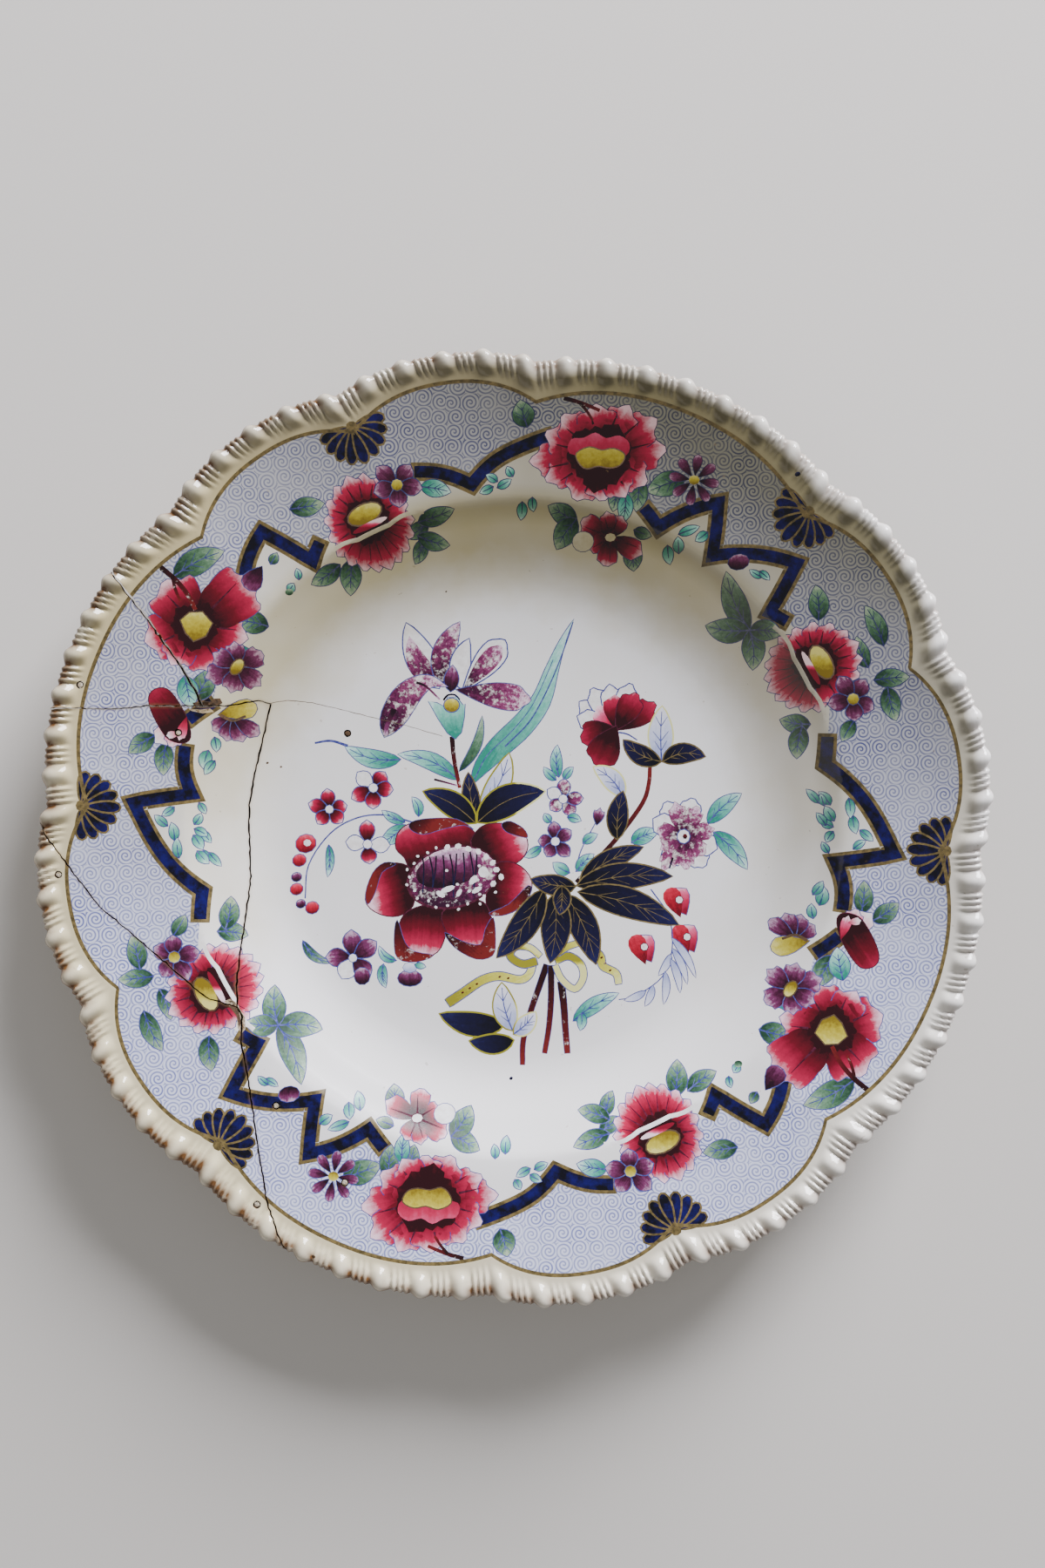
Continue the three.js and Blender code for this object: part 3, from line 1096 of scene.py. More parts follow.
@dataclass
class Mending:
    """The staples behind the plate and the cement that fills their holes on the face."""

    wire_width: float = 1.5
    leg_depth: float = 1.9
    gap: float = 0.32
    plug_radius: float = 0.86

    def wire_rig(self) -> NodeRig:
        """A group that turns a line of points into round-backed wire with closed ends."""
        values = {"Wire Width": self.wire_width * MM * 0.92, "Wire Material": PALETTE[WIRE]}
        rig = NodeRig("Staple wire", values)
        t = rig.tree
        line = add(t, "GeometryNodeMeshToCurve", {0: rig.start})
        line = add(t, "GeometryNodeFilletCurve", {0: line, "Radius": 0.0005, "Count": 3}, mode="POLY")
        section = {"Resolution": 12, "Radius": rig.start["Wire Width"] * 0.5}
        section = add(t, "GeometryNodeCurvePrimitiveCircle", section)
        body = add(
            t, "GeometryNodeCurveToMesh", {"Curve": line, "Profile Curve": section, "Fill Caps": True},
        )
        rig.finish(add(t, "GeometryNodeSetShadeSmooth", {0: body}), "Wire Material")
        return rig

    def plug_rig(self) -> NodeRig:
        """A group that roughens a cement plug's top by a fixed pattern."""
        rig = NodeRig("Cement plug", {"Roughness": 0.2 * MM, "Cement": PALETTE[CEMENT]})
        where = add(rig.tree, "GeometryNodeInputPosition")
        pits = add(rig.tree, "ShaderNodeTexNoise", {0: where, "Scale": 1400.0, "Detail": 3.0})
        normal = add(rig.tree, "GeometryNodeInputNormal")
        rig.finish(rig.moved(normal, (pits - 0.5) * rig.start["Roughness"]), "Cement")
        return rig

    def staple_line(self, staple: Staple) -> Array:
        """The line of a staple's wire: up one leg's hole, along the back and up the other."""
        a, b = np.array(staple.start.at), np.array(staple.end.at)
        along = a + np.linspace(0, 1, 12)[:, None] * (b - a)
        side = np.array([-(b - a)[1], (b - a)[0]]) / np.hypot(*(b - a)) * self.wire_width / 2
        heights = [FORM.place(FORM.stretched(along + k * side), False)[:, 2] for k in (-1, 0, 1)]
        z = np.min(heights, axis=0) - self.gap - self.wire_width / 2 * 0.9
        bar = np.column_stack([along, z])
        low = [np.array([*p, z[i] + self.gap + self.leg_depth]) for p, i in ((a, 0), (b, -1))]
        return np.vstack([low[0], bar, low[1]])

    def staples(self) -> None:
        """Makes every staple in place of its CAD node."""
        rig = self.wire_rig()
        for name, staple in STAPLES.items():
            line = self.staple_line(staple)
            mesh = bpy.data.meshes.new(name)
            mesh.from_pydata((line * MM).tolist(), [(i, i + 1) for i in range(len(line) - 1)], [])
            place(rig.run("wire_" + name, mesh), name, "staple_wire")

    def plugs(self) -> None:
        """Makes the cement in each hole that comes through to the face."""
        rig = self.plug_rig()
        for i, hole in enumerate(hole for hole in HOLES if hole.through):
            node = f"cement_plug_{i + 1}"
            low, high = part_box(node)
            top = FORM.place(FORM.stretched(np.array([hole.at])), True)[0, 2]
            mesh = self.plug_mesh(hole, low.z / MM, min(top - 0.12, high.z / MM), i)
            place(rig.run(f"cement_{i + 1}", mesh, Cement=PALETTE[hole.filling]), node, "hole_cement")

    def plug_mesh(self, hole: Hole, low: float, high: float, seed: int) -> bpy.types.Mesh:
        """A squat uneven stopper of cement with a domed, pitted top."""
        rng = np.random.default_rng(seed + 70)
        sides = 14
        a = np.arange(sides) * 2 * pi / sides
        out = rng.uniform(0.86, 1.0, sides) * self.plug_radius
        rings, points = ((1.0, low), (1.0, high - 0.25), (0.85, high - 0.08), (0.45, high)), []
        for share, z in rings:
            for r, t in zip(out * share, a):
                points.append((hole.at[0] + r * cos(t), hole.at[1] + r * sin(t), z))
        points += [(*hole.at, low), (*hole.at, high - 0.04)]
        faces = []
        top, n = (len(rings) - 1) * sides, len(points)
        for i, j in ring_edges([out]):
            faces += [(k + i, k + j, k + sides + j, k + sides + i) for k in range(0, top, sides)]
            faces += [(j, i, n - 2), (top + i, top + j, n - 1)]
        mesh = bpy.data.meshes.new("plug")
        mesh.from_pydata((np.array(points) * MM).tolist(), [], faces)
        return mesh


def place(made: bpy.types.Object, node: str, slot: str) -> None:
    """Ties a finished piece to the plate in place of a CAD node.

    Args:
        made: the finished piece.
        node: the CAD node it stands for.
        slot: a material slot's name; not used.
    """
    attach(made, "root")
    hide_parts(node)
    LOG.info("%s: %d faces", made.name, len(made.data.polygons))


# ---- finishes


def position(tree: Tree, per_mm: float = 1.0) -> Out:
    """Object position in millimetres times a scale, so that patterns have real sizes."""
    coords = add(tree, "ShaderNodeTexCoord")["Object"]
    return add(tree, "ShaderNodeVectorMath", {0: coords, "Scale": per_mm / MM}, operation="SCALE")


def split(tree: Tree, source: Out) -> tuple[Out, Out]:
    """The first two parts of a vector."""
    parts = add(tree, "ShaderNodeSeparateXYZ", {0: source})
    return parts, parts["Y"]


def patches(tree: Tree, size_mm: float, detail: float = 3.0, rough: float = 0.55) -> Out:
    """Cloudy values whose patches are about size_mm across."""
    inputs = {"Vector": position(tree, 1 / size_mm), "Scale": 1.0, "Detail": detail, "Roughness": rough}
    return add(tree, "ShaderNodeTexNoise", inputs)


def stored(tree: Tree, name: str) -> Out:
    """A number kept on the mesh."""
    return add(tree, "ShaderNodeAttribute", attribute_name=name)["Fac"]


def layered(tree: Tree, colour: Out | str, *layers: tuple[Out | float, Out | str, str]) -> Out:
    """Lays colours over one another.

    Args:
        tree: the material's tree.
        colour: the lowest colour.
        layers: for each, how much of it shows, its colour and how it blends.

    Returns:
        The colour that shows.
    """
    for share, over, blend in layers:
        colour = add(
            tree, "ShaderNodeMix", {0: share, 6: colour, 7: over}, data_type="RGBA", blend_type=blend,
        )
    return colour


@dataclass(frozen=True)
class Finish:
    """What every finish shares: a glossy surface over a colour that age has stained, with painted shade over
    it as well.
    """

    name: str
    _: KW_ONLY
    gloss: float = 0.12
    metallic: float = 0.0
    bump: float = 0.02
    stain_and_shade: float = 1.0

    def colour(self, tree: Tree) -> Out:
        """The colour before the stains and painted shade; each finish has its own."""
        raise NotImplementedError

    def age(self, tree: Tree, colour: Out) -> Out:
        """Yellows the wall of the well in clouds and greys the ware in clouds, both with painted shade
        towards the top, paints shade on the upper right of the far rim and darkens the crack sides.
        """
        plan = position(tree)
        x, y = split(tree, plan)
        far = add(tree, "ShaderNodeVectorMath", {0: plan}, operation="LENGTH")["Value"]
        # Painted shade: the clouds grow stronger towards the top of the plate.
        cloud_and_top_shade = (patches(tree, 38.0) - 0.5) * 0.9 + y * 0.0075 + x * -0.0004
        # The wall's yellow is partly a stain and partly painted shade that follows the clouds towards the
        # top.
        wall = (far * 0.05 + patches(tree, 11.0) * 0.7 - 3.3).clamp()
        outer = (stored(tree, "band_share") * -4.0 + 2.4).clamp()
        wall = wall * (far * -0.09 + 9.1).clamp().do("MAXIMUM", 0.4) * outer * (cloud_and_top_shade + 0.32).clamp()
        # A grey film in clouds, with painted shade towards the top and the left.
        haze_and_top_shade = (cloud_and_top_shade + x * -0.0035 + 0.12).clamp()
        # Painted shade: darkens the far rim on its upper right side.
        upper_right_rim_shade = (x * 0.0056 + y * 0.0088 - 0.2).clamp() * (far * 0.12 - 10.2).clamp() * outer
        speck = patches(tree, 1.7, 1.0).do("GREATER_THAN", 0.79)
        near = (1.0 - stored(tree, "crack") / 1.1).clamp() ** 2.0 * (patches(tree, 3.0) + 0.1)
        return layered(
            tree, colour, (wall * self.stain_and_shade, "#DACC94", "MULTIPLY"),
            (haze_and_top_shade * (0.4 * self.stain_and_shade), "#C6C4B8", "MULTIPLY"),
            (upper_right_rim_shade * max(self.stain_and_shade, 0.5), "#8C8872", "MULTIPLY"),
            (speck * (0.3 * self.stain_and_shade), "#7A6238", "MIX"), ((near * 0.8).clamp(), "#7E6440", "MIX"),
        )

    def build(self) -> bpy.types.Material:
        """Makes the material."""
        material = bpy.data.materials.new(self.name)
        material.use_nodes = True
        tree = material.node_tree
        tree.nodes.clear()
        colour = self.colour(tree)
        if self.stain_and_shade > 0:
            colour = self.age(tree, colour)
        uneven = {"Strength": 0.6, "Distance": self.bump * MM, "Height": patches(tree, 4.5)}
        inputs = {
            "Base Color": colour, "Normal": add(tree, "ShaderNodeBump", uneven), "Metallic": self.metallic,
            "Roughness": self.gloss, "IOR": 1.5,
        }
        add(tree, "ShaderNodeOutputMaterial", {"Surface": add(tree, "ShaderNodeBsdfPrincipled", inputs)})
        return material


@dataclass(frozen=True)
class Glaze(Finish):
    """Cream glaze: brown soot lies in the hollows of the moulded edge, with painted shade, and along its
    lip; painted cream shade lies in the cove.
    """

    white: str = "#EAE9E9"
    cream: str = "#D2C6A2"
    brown: str = "#6A4724"
    lip_brown: str = "#80552A"

    def colour(self, tree: Tree) -> Out:
        """White, with painted cream shade in the cove, soot and painted shade in the edge's hollows and
        brown on the lip, most of it on the near left.
        """
        band = stored(tree, "band_share")
        x, y = split(tree, position(tree))
        # Painted shade: stronger towards the near left.
        lean = (x * -0.0042 + y * -0.0008 + 0.58).clamp()
        # Painted shade in the cove, laid in cream.
        cove = (band.do("GREATER_THAN", 0.0) * (1.0 - band * 0.5)).clamp()
        low = (1.05 - stored(tree, "relief_height") * 0.9).clamp()
        # Soot and painted shade in the low places of the moulded edge.
        hollow_soot_and_shade = (band * 3.2 - 1.1).clamp() * low * (patches(tree, 8.0, 4.0) * 4.2 - 1.25).clamp()
        lip = (band * 6.0 - 5.0).clamp() * (patches(tree, 5.0, 4.0) * 3.0 - 0.9).clamp()
        return layered(
            tree, self.white, (patches(tree, 16.0) * 0.14, self.cream, "MIX"),
            ((cove * (lean + 0.2)).clamp(), self.cream, "MIX"),
            ((hollow_soot_and_shade * (lean * 0.95 + 0.4)).clamp(), self.brown, "MIX"),
            ((lip * (lean * 0.8 + 0.35)).clamp(), self.lip_brown, "MIX"),
        )


@dataclass(frozen=True)
class ScrollPrint(Finish):
    """Fine violet-blue printed whorls that nearly fill a bluish white ground."""

    ground: str = "#CFD3E8"
    line: str = "#4C549C"
    whorl_mm: float = 4.3
    line_pitch_mm: float = 1.02

    def colour(self, tree: Tree) -> Out:
        """A spiral line round the middle of each cell of a loose mesh of cells."""
        plan = position(tree, 1 / self.whorl_mm)
        inputs = {"Vector": plan, "Scale": 1.0, "Randomness": 0.42}
        cells = add(tree, "ShaderNodeTexVoronoi", inputs, voronoi_dimensions="2D")
        away = add(tree, "ShaderNodeVectorMath", {0: plan, 1: cells["Position"]}, operation="SUBTRACT")
        x, y = split(tree, away)
        turn = cells["Distance"] * (self.whorl_mm / self.line_pitch_mm) - y.do("ARCTAN2", x) / (2 * pi)
        line = ((turn.do("FRACT") - 0.5).do("ABSOLUTE") * -7.0 + 2.0).clamp()
        ink = (line * (patches(tree, 9.0, 4.0) * 1.1 + 0.12)).clamp()
        return layered(tree, self.ground, (ink, self.line, "MIX"))


@dataclass(frozen=True)
class Enamel(Finish):
    """Brushed colour that runs from deep at a stroke's root to pale at its tip."""

    tones: str
    streaks: float
    mottle: float
    stops: tuple[float, float, float, float] = (0.12, 0.45, 0.75, 0.98)
    wear: float = 0.0
    _: KW_ONLY
    gloss: float = 0.22
    stain_and_shade: float = 0.6

    def colour(self, tree: Tree) -> Out:
        """The four tones along the stroke, streaked by the brush and rubbed through by wear."""
        uv = add(tree, "ShaderNodeUVMap", uv_map="paint")
        fine = add(tree, "ShaderNodeVectorMath", {0: uv, 1: (7.0, 0.9, 1.0)}, operation="MULTIPLY")
        apart = add(tree, "ShaderNodeVectorMath", {0: fine, 1: position(tree, 0.06)}, operation="ADD")
        brush = add(
            tree, "ShaderNodeTexNoise", {"Vector": apart, "Scale": 1.0, "Detail": 3.0, "Roughness": 0.6},
        )
        grain = patches(tree, 1.1, 3.0, 0.7) - 0.5
        run = split(tree, uv)[1] + (brush - 0.5) * (self.streaks * 2) + grain * (self.mottle * 2.5)
        shown = add(tree, "ShaderNodeValToRGB", {0: run})
        elements = shown.node.color_ramp.elements
        for _ in range(2):
            elements.new(0.5)
        for element, at, code in zip(elements, self.stops, self.tones.split()):
            element.position, element.color = at, linear(code)
        if self.wear <= 0:
            return shown
        bare = (patches(tree, 2.4, 4.0, 0.7) * 7.0 - (4.6 - 1.2 * self.wear)).clamp()
        return layered(tree, shown, (bare, "#DCD8D2", "MIX"))


@dataclass(frozen=True)
class Plain(Finish):
    """One colour with an uneven second one showing through."""

    main: str
    second: str
    patch_mm: float = 1.5
    share: float = 0.5

    def colour(self, tree: Tree) -> Out:
        """The two colours in patches."""
        patch = (patches(tree, self.patch_mm, 4.0, 0.65) * 4.0 - (2.0 - self.share)).clamp()
        return layered(tree, self.main, (patch, self.second, "MIX"))


def make_palette() -> dict[Paint, bpy.types.Material]:
    """Makes every material once, in the order of Paint."""
    finishes = {
        # Hard, wet-looking white glaze, browned where soot and tea collect, with painted shade in the cove,
        # in the edge's hollows and towards the top.
        GLAZE: Glaze("White_glaze_stained_and_shaded"),
        # Transfer-printed violet blue whorls under the glaze.
        GROUND: ScrollPrint("Whorl_print_under_glaze"),
        # The printed outline that the painter filled, a violet blue line.
        PRINT: Plain("Violet_blue_print_line", "#33387E", "#6468A4", 1.2, 0.3),
        # The thin maroon line that parts one petal from the next.
        EDGE: Plain("Plum_petal_line", "#38081C", "#5A1E36", 1.2, 0.4),
        # Thick cobalt, almost black where it pooled.
        COBALT: Plain("Cobalt_underglaze", "#0F0A54", "#04030E", 3.8, 0.65, gloss=0.13, stain_and_shade=0.3),
        # Dull olive gold, rubbed thin.
        GILT: Plain("Rubbed_gilding", "#75643A", "#463B1C", 1.6, 0.45, gloss=0.38, stain_and_shade=0.5),
        # Crimson, maroon at the root and white at the tip of each petal.
        CRIMSON: Enamel(
            "Crimson_enamel", "#240208 #62061A #B01A42 #EDC4D2", 0.13, 0.07, stops=(0.26, 0.52, 0.8, 1.04)
        ),
        # A lighter crimson wash with nearly white tips.
        ROSE: Enamel("Rose_enamel", "#7A0C26 #B42248 #DA5E84 #F2D2DC", 0.18, 0.1),
        # The palest pink of petal tips.
        BLUSH: Enamel("Blush_enamel", "#B23A5A #D98598 #EBC8D0 #EFE8EC", 0.3, 0.2),
        # Purple brown of the small flowers.
        PLUM: Enamel("Plum_enamel", "#180412 #42102E #70305A #B896B0", 0.3, 0.25),
        # Plum dabbed on so that the ware shows through in spots.
        MOTTLE: Enamel("Dabbed_plum_enamel", "#2E0824 #5E1A44 #843A64 #D8B8CC", 0.25, 0.5, wear=0.8),
        # Opaque mustard yellow of the flower hearts.
        YELLOW: Enamel("Mustard_enamel", "#7A6614 #A8982A #BEB242 #D2C870", 0.2, 0.3),
        # Thin sea green wash.
        TEAL: Enamel("Sea_green_enamel", "#23806C #5CAA98 #8CC8BA #C2E0DC", 0.28, 0.22),
        # Grey green wash over the printed leaf veins.
        LEAF: Enamel("Leaf_green_enamel", "#1C3A2A #42664A #6C8E72 #A2B49A", 0.3, 0.3),
        # Dark blue leaf with worn spots.
        NAVY: Enamel("Navy_leaf", "#04030E #0A0824 #0E0C30 #181844", 0.25, 0.25, stain_and_shade=0.0),
        # Leaf left nearly uncoloured.
        PALE: Enamel("Pale_blue_leaf", "#9AA2C8 #BCC2DC #D2D4E4 #E0E0E8", 0.3, 0.2),
        # Red brown of the stems.
        RUSSET: Enamel("Russet_enamel", "#1E0306 #3E080C #540E12 #6A1A18", 0.3, 0.25, wear=0.3),
        # Clear red of buds.
        BERRY: Enamel("Berry_red_enamel", "#5E0614 #9A0F26 #C0243E #D8566A", 0.3, 0.25),
        # Straw yellow ribbon.
        BOW: Enamel("Straw_yellow_enamel", "#8A8420 #B4AE3A #C8C456 #D8D68A", 0.25, 0.2),
        # Bare glaze left between strokes.
        WHITE: Plain("Bare_glaze", "#EDECEC", "#DEDAD8", 2.0),
        # The open, chalky body of the ware, soaked brown.
        BODY: Plain("Broken_body", "#CFC2A8", "#7A5E3E", 0.9, 0.45, gloss=0.75, bump=0.15),
        # Tarry dirt in old cracks; on the broken walls it is also painted shade deep in the narrow gaps.
        STAIN: Plain("Crack_dirt_and_shade", "#3A2A1A", "#5E4428", 0.8, gloss=0.6, bump=0.1, stain_and_shade=0.0),
        # Brown dirt and rust round the drilled holes.
        HOLE: Plain("Drill_hole_dirt", "#2E2012", "#5A3E20", 0.6, gloss=0.7, bump=0.1, stain_and_shade=0.0),
        # Brass wire gone dull brown.
        WIRE: Plain("Tarnished_brass", "#9A7C3E", "#5C4A26", 1.2, gloss=0.42, metallic=0.9, stain_and_shade=0.0),
        # Grey white cement with dirt in its pits.
        CEMENT: Plain("Hole_cement", "#CFC5B0", "#A08C68", 0.7, 0.4, gloss=0.85, stain_and_shade=0.0),
    }
    return {paint: finish.build() for paint, finish in finishes.items()}


PALETTE: dict[Paint, bpy.types.Material] = {}


# ---- painted decoration


def petal_outline(base: Point, tip: Point, width: float, scallop: float = 0.0, lobes: int = 3) -> Outline:
    """A petal: narrow at its base and round, or scalloped, at its tip."""
    a, b = np.array(base, float), np.array(tip, float)
    length = float(np.hypot(*(b - a)))
    along = (b - a) / max(length, 1e-6)
    across = np.array([-along[1], along[0]])
    count = int(np.clip(1.5 * max(length, width), 10, 26)) + (4 if scallop > 0.03 else 0)
    turn = np.linspace(-pi, pi, count + 1)[:-1]
    out = (1 + np.cos(turn)) / 2
    reach = out**0.75 * (1 + scallop * np.cos(lobes * 2 * turn) * out)
    side = np.sin(turn) * out**0.3 * (1 + scallop * 0.6 * np.cos(lobes * 2 * turn) * out)
    return a + reach[:, None] * along * length + side[:, None] * across * width / 2


def leaf_outline(line: Array, width: float, fullest: float = 0.45) -> Outline:
    """A leaf along a centre line, pointed at both ends."""
    t = np.linspace(0, 1, len(line))
    power = log(0.5) / log(fullest)
    half = np.sin(pi * t**power) ** 0.8 * width / 2
    side = sideways(line)
    return np.vstack([line + side * half[:, None], (line - side * half[:, None])[-2:0:-1]])


def grown(outline: Outline, by: float) -> Outline:
    """The outline pushed outwards by a small distance."""
    x, y = outline[:, 0], outline[:, 1]
    area = float(np.sum(x * np.roll(y, -1) - np.roll(x, -1) * y))
    d = np.roll(outline, -1, axis=0) - np.roll(outline, 1, axis=0)
    d /= np.maximum(np.hypot(d[:, 0], d[:, 1]), 1e-9)[:, None]
    out = np.stack([d[:, 1], -d[:, 0]], 1) * (1 if area > 0 else -1)
    return outline + out * by


@dataclass
class Brush:
    """Collects strokes of paint in the order they were laid on."""

    strokes: list[Stroke] = field(default_factory=list)
    half_turn: bool = False

    def lay(
        self, outline: Outline | Sequence[Point], paint: Paint, start: Point = (0, 0), end: Point = (1, 0),
        width: float = 1.0, rim: float = 0.0, rim_paint: Paint = PRINT,
    ) -> None:
        """Adds a patch, with a printed line round it if rim is above zero.

        Args:
            outline: the patch's outline in plan.
            paint: what it is painted with.
            start: where the colour's run starts.
            end: where the colour's run ends.
            width: how wide the run is.
            rim: width of the line round it.
            rim_paint: what the line is painted with.
        """
        p = turned(outline, self.half_turn)
        ends = [tuple(turned(at, self.half_turn).tolist()) for at in (start, end)]
        if rim > 0:
            self.strokes.append(Stroke(grown(p, rim), rim_paint))
        self.strokes.append(Stroke(p, paint, ends[0], ends[1], width))

    def petal(
        self, base: Point, degrees: float, length: float, width: float, paint: Paint = CRIMSON,
        scallop: float = 0.04, rim: float = 0.24, rim_paint: Paint = PRINT, reach: float = 1.0,
    ) -> None:
        """Adds one petal that points in a direction; a reach above 1 keeps its tip dark."""
        tip, far = polar(degrees, length, base), polar(degrees, length * reach, base)
        self.lay(petal_outline(base, tip, width, scallop), paint, base, far, width, rim, rim_paint)

    def disc(self, at: Point, rx: float, ry: float, paint: Paint, degrees: float = 0.0, rim: float = 0.0,
             rim_paint: Paint = PRINT, sides: int = 14) -> None:
        """Adds a round or oval patch."""
        t = np.arange(sides) * 2 * pi / sides
        c, s = cos(radians(degrees)), sin(radians(degrees))
        x, y = rx * np.cos(t), ry * np.sin(t)
        ring = np.stack([at[0] + x * c - y * s, at[1] + x * s + y * c], 1)
        self.lay(ring, paint, (at[0], at[1] - ry), (at[0], at[1] + ry), 2 * rx, rim, rim_paint)

    def leaf(
        self, base: Point, tip: Point, width: float, paint: Paint = LEAF, bend: float = 0.06,
        rim: float = 0.26, rim_paint: Paint = PRINT, vein: Paint | None = PRINT, veins: int = 3,
    ) -> None:
        """Adds a leaf with a midrib and side veins."""
        a, b = np.array(base, float), np.array(tip, float)
        length = float(np.hypot(*(b - a)))
        across = np.array([-(b - a)[1], (b - a)[0]])
        t = np.linspace(0, 1, int(np.clip(length * 0.9 + 3, 6, 12)))
        line = a + t[:, None] * (b - a) + np.sin(pi * t)[:, None] * across * bend
        self.lay(leaf_outline(line, width), paint, base, tip, width, rim, rim_paint)
        if vein is None:
            return
        last = len(line) - 1
        rib = line[: -1 : 2]
        fine = 0.6 if vein is GILT else 1.0
        self.lay(ribbon(rib, np.linspace(0.42, 0.22, len(rib)) * fine), vein)
        side = sideways(line)
        for k in range(veins if length > 6.5 else 0):
            i = 2 + round(k * (last - 4) / veins)
            for way in (-1, 1):
                swell = sin(pi * t[min(i + 1, last - 1)])
                far = line[min(i + 2, last)] + side[i] * way * width * 0.34 * swell
                self.lay(ribbon(np.array([line[i], far]), np.array([0.28, 0.14]) * fine), vein)

    def leaves(self, paint: Paint, *items: tuple[Point, Point, float], bend: float = 0.06) -> None:
        """Adds leaves of one paint from the base, tip and width of each."""
        for base, tip, width in items:
            self.leaf(base, tip, width, paint, bend)

    def stem(self, points: Sequence[Point], width: float, paint: Paint = RUSSET, rim: float = 0.0) -> None:
        """Adds a stem or a drawn line through points."""
        line = through(points, 5)
        strip = ribbon(line, np.linspace(width, width * 0.75, len(line)))
        self.lay(strip, paint, points[0], points[-1], width, rim)

    def star(
        self, at: Point, radius: float, paint: Paint = CRIMSON, petals: int = 5, turn: float = 90.0,
        heart: Paint = WHITE, heart_size: float = 0.26, pale: Sequence[int] = (), slim: float = 0.66,
    ) -> None:
        """Adds a small open flower with alike petals; those named in pale are only outlined."""
        for k in range(petals):
            way = turn + k * 360 / petals + 7 * sin(2.3 * k + at[0])
            tip = polar(way, radius * (0.95 + 0.1 * sin(1.7 * k + at[1])), at)
            shape = leaf_outline(np.linspace(at, tip, 8), radius * slim, 0.6)
            self.lay(shape, WHITE if k in pale else paint, at, tip, radius * slim, 0.3)
        self.disc(at, radius * heart_size * 0.75, radius * heart_size * 0.75, heart, rim=0.22, sides=8)

    def blossom(
        self, at: Point, petals: Sequence[tuple[float, float, float]], paint: Paint = CRIMSON,
        core: float = 0.0, scallop: float = 0.06, depth: float = 0.0,
    ) -> None:
        """Adds a large flower.

        Args:
            at: its middle.
            petals: direction, length and width of each petal, the first one lowest.
            paint: what they are painted with.
            core: how far the dark ring round its heart reaches; 0 for none.
            scallop: how wavy the tips are.
            depth: how much of each petal a second, darker wash covers; 0 for none.
        """
        for degrees, length, width in petals:
            self.petal(at, degrees, length, width, paint, scallop)
        if depth > 0:
            for degrees, length, width in petals:
                self.petal(at, degrees, length * depth, width * 0.9, paint, scallop, 0.0, reach=1.0 / depth)
            for degrees, length, _ in petals:
                line = np.array([polar(degrees + 8, r, at) for r in (core, length * 0.82)])
                self.lay(ribbon(line, np.array([0.7, 0.15])), EDGE)
        if core > 0:
            for degrees in range(0, 360, 40):
                length = core * (1 + 0.1 * sin(degrees))
                self.petal(at, degrees + 20, length, core * 0.95, paint, 0.06, 0.0, reach=3.4)


def along_polar(corners: Sequence[Point], step: float = 2.0) -> Array:
    """A line through (direction, radius) corners whose sides bend with the rim."""
    out = []
    for (d0, r0), (d1, r1) in zip(corners, corners[1:]):
        span = hypot(radians(d1 - d0) * r0, r1 - r0)
        n = max(2, int(span / step))
        for t in np.arange(n) / n:
            swell = 0.9 * sin(pi * t) if abs(d1 - d0) > 6 else 0.0
            out.append(polar(d0 + t * (d1 - d0), r0 + t * (r1 - r0) + swell))
    out.append(polar(*corners[-1]))
    return np.array(out)


BANDS = (
    ((196.2, 89.9), (191.5, 87.6), (180, 100.8), (176.1, 104.3), (174, 89.2), (166, 93.0)),
    ((161.6, 94.2), (157.4, 89.8)),
    ((138.6, 99.0), (130.4, 106.6), (127.1, 92.0), (124.2, 94.9)),
    ((105.6, 101.4), (97, 95.0), (90, 103.6), (84.7, 107.8)),
    ((67.9, 95.0), (64.3, 91.8), (57.8, 105.4), (53.9, 92.6), (43.1, 106.2), (40.1, 92.0), (37.1, 94.0)),
)
# Where the bare ware's edge runs on past the end of a band, by the band's number.
WHITE_EDGE_EXTRA = {
    1: ((152, 91), (146, 95)), 2: ((119, 94.5), (111, 97)), 3: ((80, 103), (73, 97)),
    4: ((31, 94), (22, 93.5)),
}


